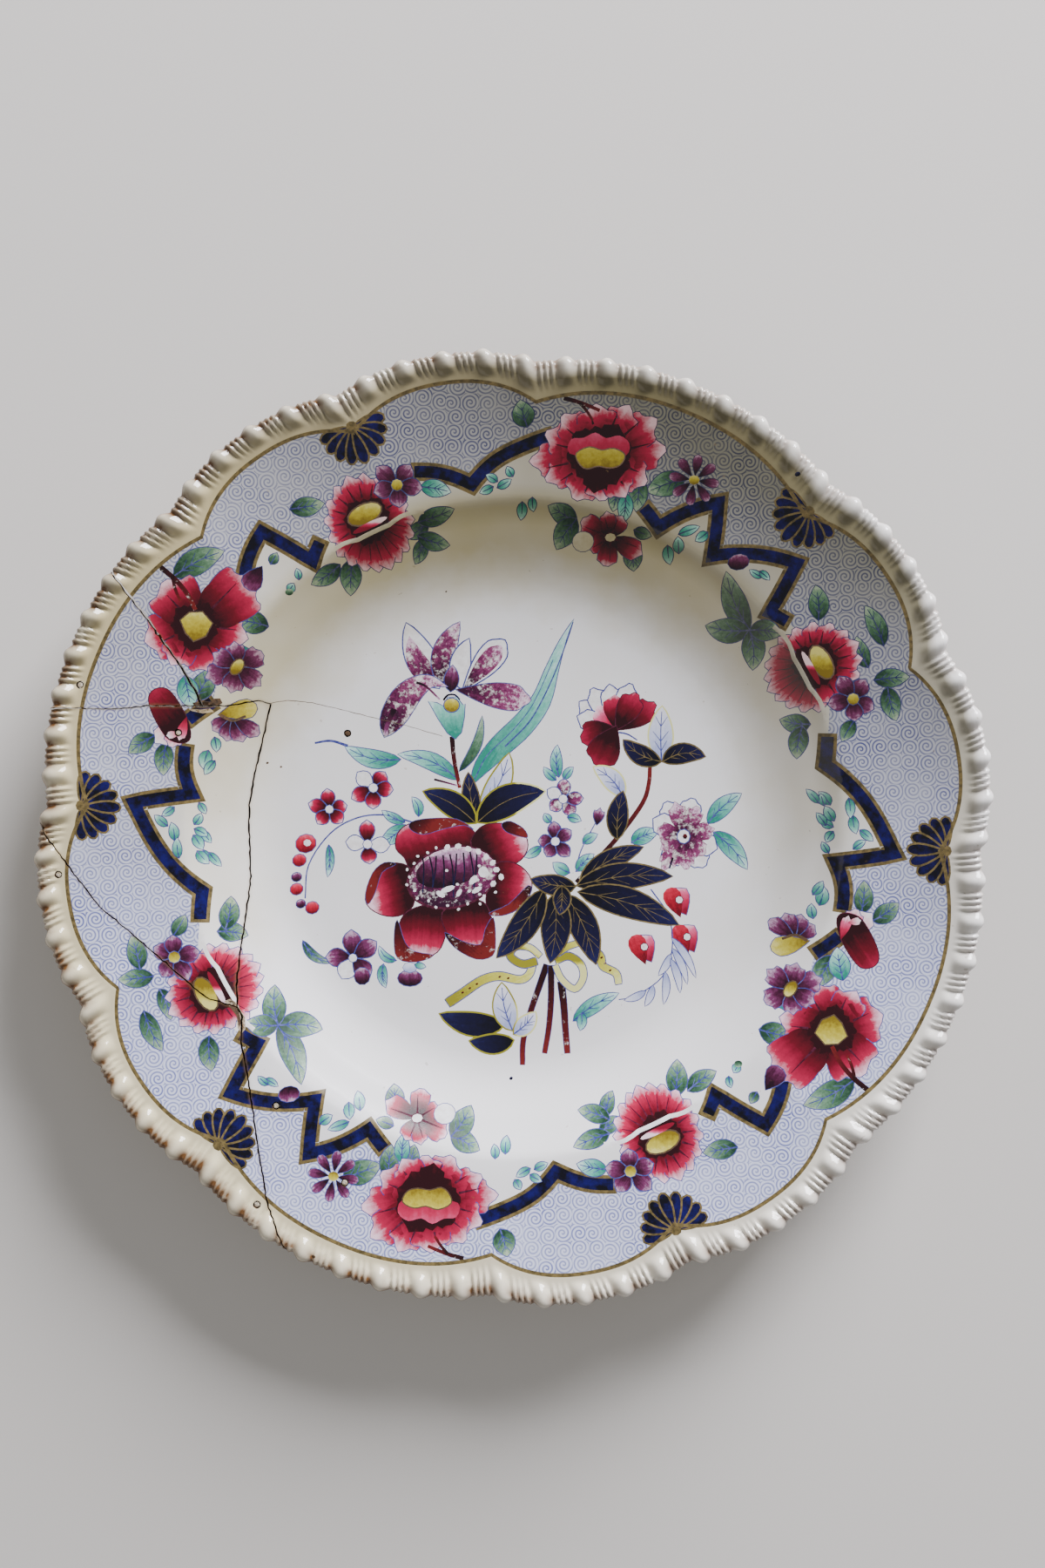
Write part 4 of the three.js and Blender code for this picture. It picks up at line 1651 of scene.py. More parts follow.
@dataclass
class Border:
    """The rim's decoration: one half of it, and the same again half a turn round."""

    brush: Brush
    band_width: float = 3.2
    gold_width: float = 0.95

    def ground(self) -> None:
        """Lays the printed whorls on the rim and takes them back from the ware inside the bands."""
        degrees = np.arange(828) * 360 / 828 + FORM.first_point_deg
        self.brush.lay(around(degrees, FORM.line(degrees) - 1.05), GROUND)
        corners: list[Point] = []
        for half in (0, 180):
            for i, band in enumerate(BANDS):
                corners += [(d - half, r) for d, r in (*band, *WHITE_EDGE_EXTRA.get(i, ()))]
        corners.append((corners[0][0] - 360, corners[0][1]))
        self.brush.lay(along_polar(corners, 3.0)[:-1], GLAZE)

    def bands(self) -> None:
        """The blue zigzag bands with a gilt line on each side."""
        for band in BANDS:
            line = along_polar(band)
            ends = np.vstack([line[0] * 2 - line[1], line, line[-1] * 2 - line[-2]])
            t = self.gold_width / max(float(np.hypot(*(line[0] - line[1]))), 0.1)
            ends[0], ends[-1] = line[0] + (line[0] - line[1]) * t, line[-1] + (line[-1] - line[-2]) * t
            self.brush.lay(ribbon(ends, self.band_width + 2 * self.gold_width), GILT)
            self.brush.lay(ribbon(line, self.band_width), COBALT)

    def fan(self, degrees: float) -> None:
        """A half daisy of blue petals with gilt edges that hangs from a point of the gilt line."""
        base = polar(degrees, 118.6)
        for k in (0, 8, 1, 7, 2, 6, 3, 5, 4):
            way = degrees + 180 + (k - 4) * 21
            near, tip = polar(way, 1.2, base), polar(way, 10.6 - 0.35 * abs(k - 4), base)
            self.brush.lay(petal_outline(near, tip, 3.3), COBALT, rim=0.55, rim_paint=GILT)
        self.brush.disc(base, 1.5, 1.1, GILT, degrees + 90, sides=8)

    def leaves(self, paint: Paint, *items: tuple[float, float, float, float, float]) -> None:
        """Leaves from (direction, radius, pointing, length, width) of each, by its middle."""
        for degrees, radius, way, length, width in items:
            x, y = polar(degrees, radius)
            dx, dy = polar(way, length / 2)
            self.brush.leaf((x - dx, y - dy), (x + dx, y + dy), width, paint, bend=0.05 * sin(degrees))

    def flowers(self) -> None:
        """The flowers, leaves, buds and twigs of one half of the rim."""
        b = self.brush
        self.leaves(
            LEAF, (155.2, 94.3, 60, 10, 6), (142, 91.5, 170, 9, 6), (140, 112.5, 27, 15.5, 6.8),
            (131.7, 99, 60, 3.5, 2.6), (122.7, 104.8, 10, 9.5, 5.2), (167.3, 104.5, 215, 8.5, 5),
            (168.8, 97.6, 265, 9, 5), (126.6, 87.0, 215, 9.5, 4.6), (123.0, 82.6, 265, 9.5, 5.6),
            (108.0, 86.4, 215, 7, 4), (104.0, 88.6, 20, 10.5, 4.6), (108.9, 81.0, 250, 7, 3.8),
            (105.6, 82.6, 345, 9, 4.6), (88.6, 113.4, 105, 7.5, 6), (66.1, 103, 200, 11, 6.5),
            (69.6, 97.6, 265, 9, 5), (72.7, 95.2, 255, 8, 4.4), (81.2, 87.4, 150, 9, 5.2),
            (79.8, 82.6, 235, 9.5, 6.2), (66.1, 81.6, 275, 6.5, 5), (66.4, 88.6, 340, 5, 3),
            (36.6, 103.6, 95, 9.5, 5.4), (29.3, 113.2, 115, 12, 5), (26.8, 107, 110, 9, 4.4),
            (21.6, 111.2, 5, 9.5, 5.0), (18.2, 109, 285, 9.5, 5.2), (16.2, 95.6, 240, 6.5, 4),
            (20.6, 83.2, 170, 8, 5), (16.6, 82.6, 262, 9, 5),
        )
        self.leaves(
            TEAL, (157.4, 97.0, 280, 9, 5.6), (103, 95.4, 350, 8.4, 4.6), (71, 93, 265, 8, 4),
            (148, 87, 280, 8, 5), (178.8, 96.8, 140, 4.5, 2.2), (177.2, 95, 215, 4, 2),
            (180.6, 93.6, 100, 5, 2.6),
            (183.4, 92.4, 95, 5.5, 2.4), (167.5, 87.0, 255, 5.2, 3.2), (168.8, 85.6, 235, 4.6, 2.2),
            (164.4, 85.6, 275, 4, 2.4), (176.4, 86.2, 300, 3.4, 1.8), (181.6, 85, 305, 4.2, 2),
            (185.2, 85.6, 285, 3.4, 1.8), (186, 83.2, 310, 5, 2), (91.6, 94.6, 30, 4.4, 2.2),
            (93.6, 96.2, 150, 3.6, 2.2), (94.6, 93.2, 205, 4, 2.2), (90.6, 97.8, 120, 3, 2.2),
            (88.6, 87.4, 265, 4.6, 2.6), (86.6, 89.2, 275, 3.6, 2.2), (59.5, 94.8, 20, 6, 2.4),
            (57.2, 95.2, 215, 4, 2.6), (59.8, 90, 95, 4.4, 2.8), (46.4, 96.4, 150, 4, 1.8),
            (45.2, 97.6, 320, 3.6, 1.8), (60.4, 86.6, 280, 5, 2.8), (2.6, 87.2, 120, 4.6, 2.6),
            (0.8, 86.4, 150, 3.8, 2.2), (-1.6, 87.2, 240, 3.4, 2.2), (5.4, 86.2, 130, 4.6, 2.6),
            (132.8, 90.0, 60, 2.6, 2.2), (130.4, 91.6, 100, 3, 1.8),
        )
        middle = (65.2, 54.6)
        tips = (((58.4, 70.4), 6.2), ((53.4, 56.2), 6.6), ((66.4, 43.8), 6.0), ((73.6, 53.2), 5.6))
        b.leaves(LEAF, *((middle, tip, width) for tip, width in tips))
        self.crimson_flowers(b)
        self.plum_flowers(b)

    def crimson_flowers(self, b: Brush) -> None:
        """The red flowers of one half of the rim."""
        at = polar(147.5, 103.4)
        petals = (
            (-68, 12.8, 14.5), (198, 13.6, 15), (-14, 13.6, 12.5), (125, 13.8, 17), (38, 19.6, 17.5),
            (238, 12, 11),
        )
        b.blossom(at, petals, core=6.4, scallop=0.07, depth=0.66)
        b.lay(
            np.array(at) + [
                (-4, 1.4), (-1.6, 3.4), (1.8, 3.6), (4.4, 0.6), (2.6, -2.8), (-0.6, -4.2), (-2.6, -2),
            ],
            YELLOW, (at[0], at[1] - 4), (at[0], at[1] + 4), 8, 0.4, STAIN,
        )
        b.stem([(-96.8, 71.6), (-92.5, 67.9), (-89.4, 64.1), (-87.2, 59.8)], 1.5)
        b.stem([(-93.4, 69.2), (-92.6, 65.4), (-91.3, 62.2)], 1.0)
        bud = (
            (-98.4, 38.0), (-95.1, 38.1), (-92, 34.4), (-89.5, 29.3), (-88.9, 24.9), (-90.9, 23.4),
            (-94.6, 24.4), (-97, 27.5), (-99.3, 32.1), (-100, 35.8),
        )
        b.petal((-91, 30), 222, 9.4, 6.4, BLUSH, 0.06)
        b.petal((-91, 31), 250, 9.0, 6.0, ROSE, 0.06)
        b.lay(smooth_ring(bud), CRIMSON, (-89.6, 25), (-103, 44), 9, 0.24, EDGE)
        b.petal((-89.8, 30.6), 252, 6.6, 3.4, ROSE, 0.05, 0.0)
        b.petal((-91.6, 26), 190, 3.6, 2.4, BLUSH, 0.05, 0.0)
        at = polar(76.9, 104.6)
        b.blossom(
            at,
            (
                (184, 18.4, 11), (157, 15.5, 11), (203, 15.5, 9.5), (-121, 13, 11), (-87, 11.5, 11),
                (133, 14.5, 11), (6, 17.2, 12), (33, 17.4, 11.5), (60, 15, 11), (95, 13.4, 13),
                (-30, 14, 11), (-58, 12.4, 10),
            ),
            core=8.8, scallop=0.06, depth=0.74,
        )
        bowl = (
            (-8.4, 0.8), (-8, 4.6), (-4.6, 5), (-1.4, 6.4), (1.6, 4.9), (5.2, 5.6), (8, 3.4), (6.8, 0),
            (0, -0.6),
        )
        b.lay(np.array(at) + smooth_ring(bowl), ROSE, (at[0], at[1] - 4), (at[0], at[1] + 12), 15)
        heart = (
            (-6.4, 0.8), (-3, 2.4), (0.4, 1.5), (3.6, 2), (6.6, 0.4), (5.4, -2.2), (2.6, -3), (-0.6, -2.5),
            (-3.8, -3.2), (-5.8, -1.6),
        )
        b.lay(
            np.array(at) + smooth_ring(heart), YELLOW, (at[0], at[1] - 4), (at[0], at[1] + 4), 12, 0.35,
            STAIN,
        )
        b.stem([(13.7, 117.5), (17.5, 116.5), (20.6, 115.4), (23.5, 114.2)], 1.2)
        b.stem([(18.0, 116.3), (20.0, 114.0), (21.6, 111.6)], 0.9)
        self.split_peony(b, polar(115.4, 93.6), 115.4)
        self.split_peony(b, polar(28.3, 94.2), 28.3)
        at = polar(71.6, 84.6)
        b.blossom(
            at, ((150, 9, 6.5), (200, 6.5, 6), (262, 7.4, 6.5), (-28, 9.5, 6.5), (60, 6, 6), (100, 6.5, 5)),
            scallop=0.05, depth=0.7,
        )
        b.disc(at, 1.5, 1.1, WHITE, rim=0.3, rim_paint=EDGE, sides=8)
        b.disc(polar(76.4, 81.6), 2.9, 2.6, WHITE, rim=0.2)

    @staticmethod
    def split_peony(b: Brush, at: Point, degrees: float) -> None:
        """A red flower across the shoulder, where a painted highlight, a strip of white along the shoulder's
        edge, divides its two halves.
        """
        spread = (-92, 92, -66, 66, -42, 42, -20, 20, 0)
        outer = [(degrees + a, 12.6 - 1.2 * abs(sin(radians(a))), 7.4) for a in spread]
        turns = (-66, 66, -48, 48, -30, 30, -14, 14, 0)
        inner = [(degrees + 180 + a, 13.8 - 0.02 * abs(a), 6.2) for a in turns]
        b.blossom(at, inner, CRIMSON, scallop=0.03, depth=0.88)
        b.blossom(at, outer, CRIMSON, core=6.2, scallop=0.05, depth=0.78)
        b.disc(polar(degrees, 1.8, at), 4.8, 2.5, YELLOW, degrees + 90, 0.45, STAIN)
        b.disc(polar(degrees, -1.5, at), 5.2, 0.9, ROSE, degrees + 90)
        # Painted highlight: a thin white strip along the shoulder's edge.
        foot = ((-9.5, 90.4), (-3, 90.1), (3, 90.1), (9.5, 90.4))
        across = along_polar([(degrees + a, r) for a, r in foot])
        b.lay(ribbon(across, 1.15), WHITE)

    @staticmethod
    def plum_flowers(b: Brush) -> None:
        """The plum flowers, buds and daisy of one half of the rim."""
        at = polar(158.6, 83.6)
        b.blossom(at, ((215, 6, 5.4), (255, 6.4, 5.6), (290, 6.8, 5.6), (325, 8, 5)), PLUM, scallop=0.05)
        b.petal((at[0] - 3.8, at[1] + 0.6), 14, 10.4, 6.2, YELLOW, 0.02)
        b.stem([(at[0] - 3.2, at[1] + 0.6), (at[0], at[1] - 0.8), (at[0] + 3.4, at[1] + 0.4)], 0.9, STAIN)
        at = polar(149.8, 88.2)
        b.blossom(
            at,
            ((30, 7.6, 6.5), (95, 6.4, 6), (200, 8.4, 7), (255, 6.8, 6.5), (320, 7.2, 6.5), (150, 6.8, 6)),
            PLUM, scallop=0.08,
        )
        b.disc(at, 2.3, 1.3, YELLOW, 55, 0.35, STAIN)
        for degrees, radius, turn in ((108.8, 99.4, 60), (20.8, 99.6, -20)):
            b.star(polar(degrees, radius), 7.0, PLUM, 5, turn, YELLOW, 0.3)
        at = polar(62.6, 107.4)
        for k in range(8):
            way = 80 + k * 45
            b.petal(polar(way, 1.3, at), way, 5.6, 3.0, PLUM, 0.0, 0.18, reach=1.1)
        b.disc(at, 1.5, 1.3, YELLOW, sides=8)
        b.petal(polar(133.9, 99.6), 236, 7.4, 6.6, PLUM, 0.0, reach=1.3)
        b.disc(polar(49.8, 95.6), 2.9, 2.1, PLUM, 10, 0.2, sides=10)
        b.disc(polar(133.6, 89.6), 1.1, 0.9, LEAF, 10)

    def paint_all(self) -> None:
        """Paints both halves."""
        self.ground()
        for half in (False, True):
            self.brush.half_turn = half
            self.bands()
            for degrees in (177, 112, 47):
                self.fan(degrees)
            self.flowers()
        self.brush.half_turn = False


@dataclass
class Bunch:
    """The bunch of flowers on the plate's floor."""

    brush: Brush

    def back_leaves(self) -> None:
        """The long blades, the twisted leaf and the iris's stem."""
        b = self.brush
        blade = through(
            [
                (16.8, 58.4), (13.6, 52), (10.6, 44), (7.6, 35.5), (2.4, 28.6), (-4, 22.6), (-9, 17),
                (-12, 12),
            ],
            4,
        )
        b.lay(leaf_outline(blade, 6.4, 0.62), TEAL, (-12, 12), (16.8, 58.4), 6, 0.26)
        b.stem([(-11, 13.5), (-7.6, 20), (-1, 26.5), (4.4, 33), (8, 40), (11, 47)], 0.3, PRINT)
        b.stem([(-2.5, 22.6), (4.2, 29.4), (8.4, 36.6), (11.6, 43.6), (14.8, 52), (16.6, 57.6)], 0.45, PRINT)
        b.leaf((-15.4, 13.2), (-32.6, 20.4), 4.8, TEAL, bend=-0.1)
        b.leaf((-31.8, 19.0), (-47.4, 22.6), 5.0, TEAL, bend=0.1)
        b.stem([(-46.6, 22.8), (-51.4, 24.2), (-55.9, 23.6)], 0.8, PRINT)
        b.leaf((-15.4, 15.6), (-8.9, 31.2), 2.6, LEAF, bend=-0.1, vein=None)
        b.stem([(-17.4, 25.4), (-16.8, 19), (-15.2, 11)], 1.4)
        b.stem([(-22.4, 13.4), (-18.6, 12.4), (-15.8, 11.6)], 0.6, PLUM)

    def iris(self) -> None:
        """The plum iris at the top."""
        b = self.brush
        b.leaf((-21.0, 39.0), (-30.2, 57.2), 8.2, WHITE, bend=0.04, rim=0.4, vein=None)
        b.leaf((-20.6, 39.5), (-29.4, 53.6), 6.0, MOTTLE, bend=0.12, rim=0.0, vein=None)
        b.leaf((-20.2, 39.5), (-15.2, 57.6), 6.6, MOTTLE, bend=0.1, vein=None)
        b.leaf((-14.0, 38.5), (-12.6, 52.8), 5.6, WHITE, bend=0.12, rim=0.4, vein=None)
        b.petal((-14.4, 38.3), 50, 18.0, 8.6, WHITE, 0.02, 0.4)
        b.petal((-14.4, 38.3), 49, 16.4, 6.4, MOTTLE, 0.02, 0.0)
        b.leaf((-17.8, 38), (-17.2, 45.4), 4.0, PLUM, bend=0.0, vein=None)
        b.petal((-16.4, 38.6), -8, 20.8, 8.8, MOTTLE, 0.03)
        left = through([(-18.6, 39.4), (-24, 40.8), (-29.6, 37.4), (-34, 30.6), (-36.4, 25.2)], 4)
        b.lay(leaf_outline(left, 7.8, 0.62), MOTTLE, (-36.4, 25.2), (-18.6, 39.4), 7, 0.26)
        b.stem([(-33.6, 33.2), (-35.6, 28.4), (-36, 25.8)], 1.5, PLUM)
        b.stem([(-27.4, 40.6), (-24.6, 39.4), (-20.8, 35.8)], 0.7, PLUM)
        cup = [
            (-24, 35.4), (-21.6, 34.8), (-19.6, 33.8), (-18.6, 36.4), (-16, 36.4), (-14.4, 34.2),
            (-13.8, 34.6), (-14, 30.8), (-14.8, 26.6), (-16.4, 24.8), (-18.6, 26.4), (-21.2, 30.4),
        ]
        b.lay(cup, TEAL, (-16.4, 24.8), (-18.6, 37), 8, 0.26)
        b.disc((-17.5, 34.2), 2.1, 1.9, YELLOW, 0, 0.3)
        b.stem([(-19.8, 35.6), (-18.6, 37), (-16.6, 37.1), (-15.2, 35.8)], 0.6, NAVY)

    def trio(self) -> None:
        """Three dark leaves and a pale one above the peony."""
        b = self.brush
        gold = (0.5, BOW, GILT, 0)
        b.leaf((-9.4, 5), (-1.4, 20.6), 6.0, PALE, bend=-0.08, rim=0.5, rim_paint=BOW)
        b.leaf((-10.6, 1.4), (-12.8, 15.2), 4.6, NAVY, bend=0.03, rim=0.4, rim_paint=GILT, vein=GILT)
        b.leaf((-10.8, 1.2), (-25.4, 10), 6.6, NAVY, -0.07, *gold)
        b.leaf((-10.2, 1.4), (8.6, 10), 8.4, NAVY, 0.1, *gold)

    def peony(self) -> None:
        """The large crimson flower with folded petals and a dabbed plum heart."""
        b = self.brush
        # each: outline, where its colour starts and ends
        petals = (
            (
                (-20, -12), (-25, 3.6), (-30.6, -8.6), (-33, -6), (-32.6, -2), (-29.4, 0.8), (-23.6, 1.4),
                (-17, 1.2), (-12.2, -0.4), (-10.6, -4), (-14, -9), (-22, -11.4), (-28, -13.4),
            ),
            (
                (-9.6, -9.4), (2.6, -2.6), (-11.8, -5.4), (-10.4, -1.2), (-7, 0.8), (-1.2, 0.6), (3, -2.2),
                (3.6, -6.4), (0.6, -10), (-5.2, -10.6),
            ),
            (
                (-28, -16.4), (-40.6, -19), (-29.6, -11.2), (-34.4, -10.2), (-38.6, -12.2), (-41.2, -17.4),
                (-41.2, -21.6), (-37.4, -24.4), (-32.4, -24.8), (-28.4, -22), (-28, -16),
            ),
            (
                (-8.4, -16.2), (5, -16), (-5.4, -10.6), (0.2, -10.2), (4.2, -13.6), (4.8, -17.6),
                (2.4, -21.8), (-2.2, -24.4), (-7, -24), (-7.6, -18),
            ),
            (
                (-25, -20.4), (-26.4, -36.4), (-29.6, -23.6), (-32.2, -27.6), (-33.2, -32.6), (-31.4, -36.4),
                (-26.6, -37), (-21.6, -35), (-19.4, -30.6), (-18.8, -25), (-22, -21.6),
            ),
            (
                (-13, -19.4), (-11.4, -35), (-20, -24), (-18.8, -29.4), (-15, -34), (-10.2, -36.4),
                (-6.8, -35.4), (-5.8, -31.4), (-6.4, -25.6), (-8.6, -21.2), (-14, -20.4),
            ),
        )
        for start, end, *outline in petals:
            b.lay(smooth_ring(outline), CRIMSON, start, end, 12, 0.3, EDGE)
        folds = (
            (
                (-28.8, 1.4), (-29, -0.6), (-25.4, -2), (-19.6, -0.4), (-14, 0.6), (-11.2, -0.8), (-16, 2.2),
                (-23.6, 2.4),
            ),
            ((-3.4, 0.8), (-1, 1.6), (2.6, -0.4), (3.8, -2.8), (1, -2.4), (-2.2, -1.2)),
            (
                (-33.2, -10.4), (-36.4, -10), (-39.6, -12.8), (-41.6, -18.4), (-41, -21.6), (-39, -18.4),
                (-37, -12.6),
            ),
            ((4, -16.4), (4.6, -18.6), (1.6, -22.6), (-3.4, -24.8), (-7, -24.2), (-1.4, -21.6)),
            (
                (-32.8, -26), (-33.6, -31.6), (-32.6, -36.8), (-27.4, -37.8), (-22.6, -36), (-27.6, -35),
                (-30.6, -32.4),
            ),
            (
                (-19.4, -29.6), (-16.6, -33.8), (-10.6, -37), (-6, -36), (-5.2, -31.8), (-5.8, -25.4),
                (-8, -28.6), (-9.4, -33), (-14.6, -32),
            ),
        )
        for outline in folds:
            b.lay(smooth_ring(outline), RUSSET, outline[0], outline[2], 3, 0.15)
        b.disc((-17.4, -14.1), 13.0, 8.8, EDGE, 14, sides=26)
        b.disc((-17.2, -14.0), 12.4, 8.2, MOTTLE, 14, sides=24)
        b.disc((-18.2, -11.8), 9.6, 5.0, PLUM, 14, sides=18)
        for k in range(9):
            x = -25.6 + 1.9 * k
            foot = (x + 1.2 * sin(2.1 * k), -16.4 + 0.25 * x * 0.3 + 2.2 * sin(1.3 * k))
            b.stem([(x, -7.6 + 0.12 * (x + 18)), ((x + foot[0]) / 2 + 0.3, -12), foot], 0.45, NAVY)
        rng = np.random.default_rng(4)
        for k in range(26):
            a = radians(14 + k * 360 / 26)
            r = 1.02 + 0.09 * sin(3.1 * k)
            at = (-17.2 + 12.4 * r * cos(a), -14.0 + 8.4 * r * sin(a))
            big = 1.0 if k in (0, 1, 2, 3, 4, 5, 6, 24, 25) else 0.5
            b.disc(at, big, big * 0.8, WHITE, 40 * k, sides=6)
        for _ in range(9):
            at = (-17.2 + rng.uniform(-9, 8), -14.6 + rng.uniform(-5, 4.4))
            b.disc(at, 0.5, 0.42, WHITE, sides=6)
        blots = (
            (-18.6, -17.4, 2.4, 1.0, 20), (-20.6, -18.8, 1.6, 1.0, -30), (-15.4, -18.4, 1.4, 0.8, 60),
            (-11.4, -14.8, 1.8, 1.1, 50), (-8.6, -12.6, 1.6, 2.0, 10), (-10.4, -17.6, 1.8, 0.9, 30),
        )
        for x, y, rx, ry, turn in blots:
            b.disc((x, y), rx * 0.9, ry * 0.8, WHITE, turn, sides=8)

    def dark_leaves(self) -> None:
        """The spray of dark leaves with gilt veins to the right of the peony, and its stem."""
        b = self.brush
        b.stem([(17.6, -15.6), (24, -8.6), (29.7, -2.1), (36, 6.6), (37.8, 12), (38.2, 17.2)], 1.5)
        items = (
            ((18.6, -14.8), (36.2, -5.6), 5.6), ((17.6, -16.4), (44.4, -13.8), 7.2),
            ((18, -18.2), (46.2, -27.4), 8.0), ((14.6, -19), (23, -38.4), 7.6),
            ((11.4, -18.6), (10.2, -38), 8.0), ((8.4, -17.4), (-4.8, -36.6), 7.4),
            ((17.2, -16.6), (4.8, -14.6), 5.4), ((13.4, -16.6), (12.8, -24.4), 4.6),
        )
        for base, tip, width in items:
            b.leaf(base, tip, width, NAVY, 0.05, 0.42, GILT, GILT, 4)
        b.leaf((30.6, 8.6), (22.4, 16.8), 5.2, PALE, -0.1, 0.45, BOW)
        b.leaf((29.0, -3.4), (30.6, 10), 5.6, NAVY, 0.05, 0.4, GILT, GILT)
        b.leaf((41.4, 18.6), (41.6, 33.8), 6.6, PALE, 0.02, 0.45, BOW)
        b.leaf((41.2, 18.4), (30.8, 24.4), 5.2, NAVY, 0.1, 0.42, GILT, GILT)
        b.leaf((41.8, 18.4), (53.6, 19.8), 5.4, NAVY, 0.14, 0.42, GILT, GILT)

    def carnation(self) -> None:
        """The half-turned red flower at the top right."""
        b = self.brush
        at = (28.6, 27.2)
        for degrees, length in ((142, 12.4), (120, 13), (98, 12.4), (72, 13.2), (160, 11.0)):
            b.petal(at, degrees, length, 6.6, WHITE, 0.04, 0.36)
        b.petal(at, 128, 8.2, 7.6, ROSE, 0.06, 0.0)
        b.petal(at, 92, 9.6, 8.0, CRIMSON, 0.05, 0.0, reach=1.1)
        b.petal(at, 34, 12.8, 7.8, CRIMSON, 0.06, rim_paint=EDGE, reach=1.3)
        b.petal(at, 60, 11.4, 8, CRIMSON, 0.06, rim_paint=EDGE, reach=1.25)
        b.petal((29.2, 27.6), 196, 10.4, 10, CRIMSON, 0.06, rim_paint=EDGE, reach=1.4)
        b.petal((28.8, 28.4), 243, 12.0, 10.6, CRIMSON, 0.05, rim_paint=EDGE, reach=1.5)
        b.stem([(29.4, 26.6), (32, 26), (34.6, 24.4)], 0.5, PRINT)

    def small_flowers(self) -> None:
        """The little flowers, buds and sprigs round the bunch."""
        b = self.brush
        branch = [(-28.6, 1.4), (-36, 3.4), (-44, 2.6), (-51.6, -1.8), (-57.6, -10.6), (-58.6, -20)]
        b.stem(branch, 0.5, PRINT)
        b.leaves(TEAL, ((-30.6, 1.4), (-37, 4.6), 2.6), ((-30.4, 0.6), (-37.6, -4.4), 4.4))
        b.leaf((-26.8, 3), (-28.6, 8.4), 2.6, TEAL, -0.15)
        b.leaf((-52, -5), (-52.3, -13.9), 2.2, TEAL)
        b.leaf((-59.2, -31.8), (-51.2, -38), 2.4, LEAF, -0.15)
        b.star((-39.5, 11.0), 6.4, CRIMSON, 5, 60, pale=(1,))
        b.star((-51.8, 5.0), 5.8, CRIMSON, 5, 20)
        b.star((-41.1, -4.8), 6.4, CRIMSON, 4, 90, pale=(1, 3))
        for x, y, r in (
            (-58.4, -4.6, 2.9), (-60.2, -9.3, 1.9), (-61, -14, 1.4), (-61, -17.4, 1.8), (-59.8, -21.5, 1.3),
            (-56.6, -22.6, 1.9),
        ):
            b.disc((x, y), r, r * 0.88, BERRY if r > 1.4 else PLUM, 20, 0.22, sides=10)
        b.disc((-58, -4.4), 1.1, 1.0, WHITE, sides=7)
        b.star((-45.2, -36.7), 7.6, PLUM, 5, 100, WHITE, 0.2, pale=(2,))
        b.disc((-42.6, -41.8), 2.2, 2.4, PLUM, 0, 0.2, sides=10)
        b.disc((-29.2, -42.4), 3.4, 2.2, PLUM, 0, 0.25, sides=12)
        b.disc((-29.2, -39.4), 2.0, 1.4, PALE, 0, 0.15, sides=8)
        b.leaf((-36.6, -38.4), (-36, -45), 2.6, TEAL, -0.1)
        b.leaf((-33, -37.4), (-37.8, -33.4), 2.2, TEAL, 0.2)
        b.leaf((-27.8, -38.6), (-24.8, -39.2), 1.6, TEAL, 0, vein=None)
        b.stem([(17.4, -12.6), (18.8, -6.6), (23, 1.4)], 0.4, PRINT)
        b.star((13.8, 7.9), 5.4, MOTTLE, 5, 80, WHITE, 0.3, pale=(1,))
        b.star((11.6, -4.0), 5.4, PLUM, 5, 100, WHITE, 0.3)
        b.petal((23.2, 0.6), 78, 4.4, 3.6, PLUM, 0.1)
        b.leaves(
            TEAL, ((12.6, 14), (12.2, 23), 3.2), ((11.8, 13.2), (8.4, 16.8), 2.2),
            ((14, 13.4), (16.6, 16.8), 2.2), ((19.4, -4.6), (23.4, -2), 2.6), ((7.6, -5.4), (3, -8.4), 2.4),
            ((17.6, -12.4), (22.4, -7.6), 3.2), ((15.6, -12.8), (11, -10), 3.2),
            ((15, 2.8), (18.8, 1.8), 2.4), ((10.4, 1.4), (8.6, 3.8), 2.2), ((33, -4.4), (40.4, -1.2), 4.4),
        )
        b.stem([(40, -1), (43, -1.2), (44.4, -2)], 0.9, RUSSET)

    def right_flower(self) -> None:
        """The dabbed plum flower at the right with its leaves, berries and pale sprig."""
        b = self.brush
        at = (47.6, -2.6)
        b.leaves(TEAL, ((54.4, 1), (63.8, 9.4), 4.8), ((56, -1.4), (65.4, -11.8), 5.0))
        for degrees, length in ((118, 10.5), (76, 10.6), (150, 9.4), (-55, 10), (-20, 9.6), (-120, 9)):
            b.petal(at, degrees, length, 7.0, WHITE, 0.04, 0.36)
        for degrees, length in (
            (104, 9.4), (64, 9.0), (14, 8.4), (-40, 7.6), (-85, 9.0), (-122, 10.6), (165, 7.4), (-150, 7),
        ):
            b.petal(at, degrees, length, 5.8, MOTTLE, 0.08, 0.1, EDGE)
        b.disc(at, 1.7, 1.9, WHITE, 0, 0.3, sides=9)
        b.disc((at[0] + 0.4, at[1]), 0.7, 0.8, RUSSET, 0, sides=6)
        b.stem([(44.6, -8.6), (43.6, -11.6)], 0.6, NAVY)
        for x, y in ((45.8, -20.8), (48, -31.2), (36, -34)):
            b.petal((x + 2.6, y - 3.8), 116, 8.0, 7.8, ROSE, 0.03)
            b.petal((x + 1.0, y - 4.6), 112, 9.0, 6.2, BERRY, 0.0, 0.0, reach=1.3)
            b.disc((x + 0.6, y + 0.4), 1.0, 1.0, WHITE, 0, 0.25, EDGE, sides=7)
        b.stem(
            [(38.4, -17.4), (43.4, -25), (44.4, -34), (41.6, -42), (34, -47.4), (29.4, -48.4)], 0.4, PRINT,
        )
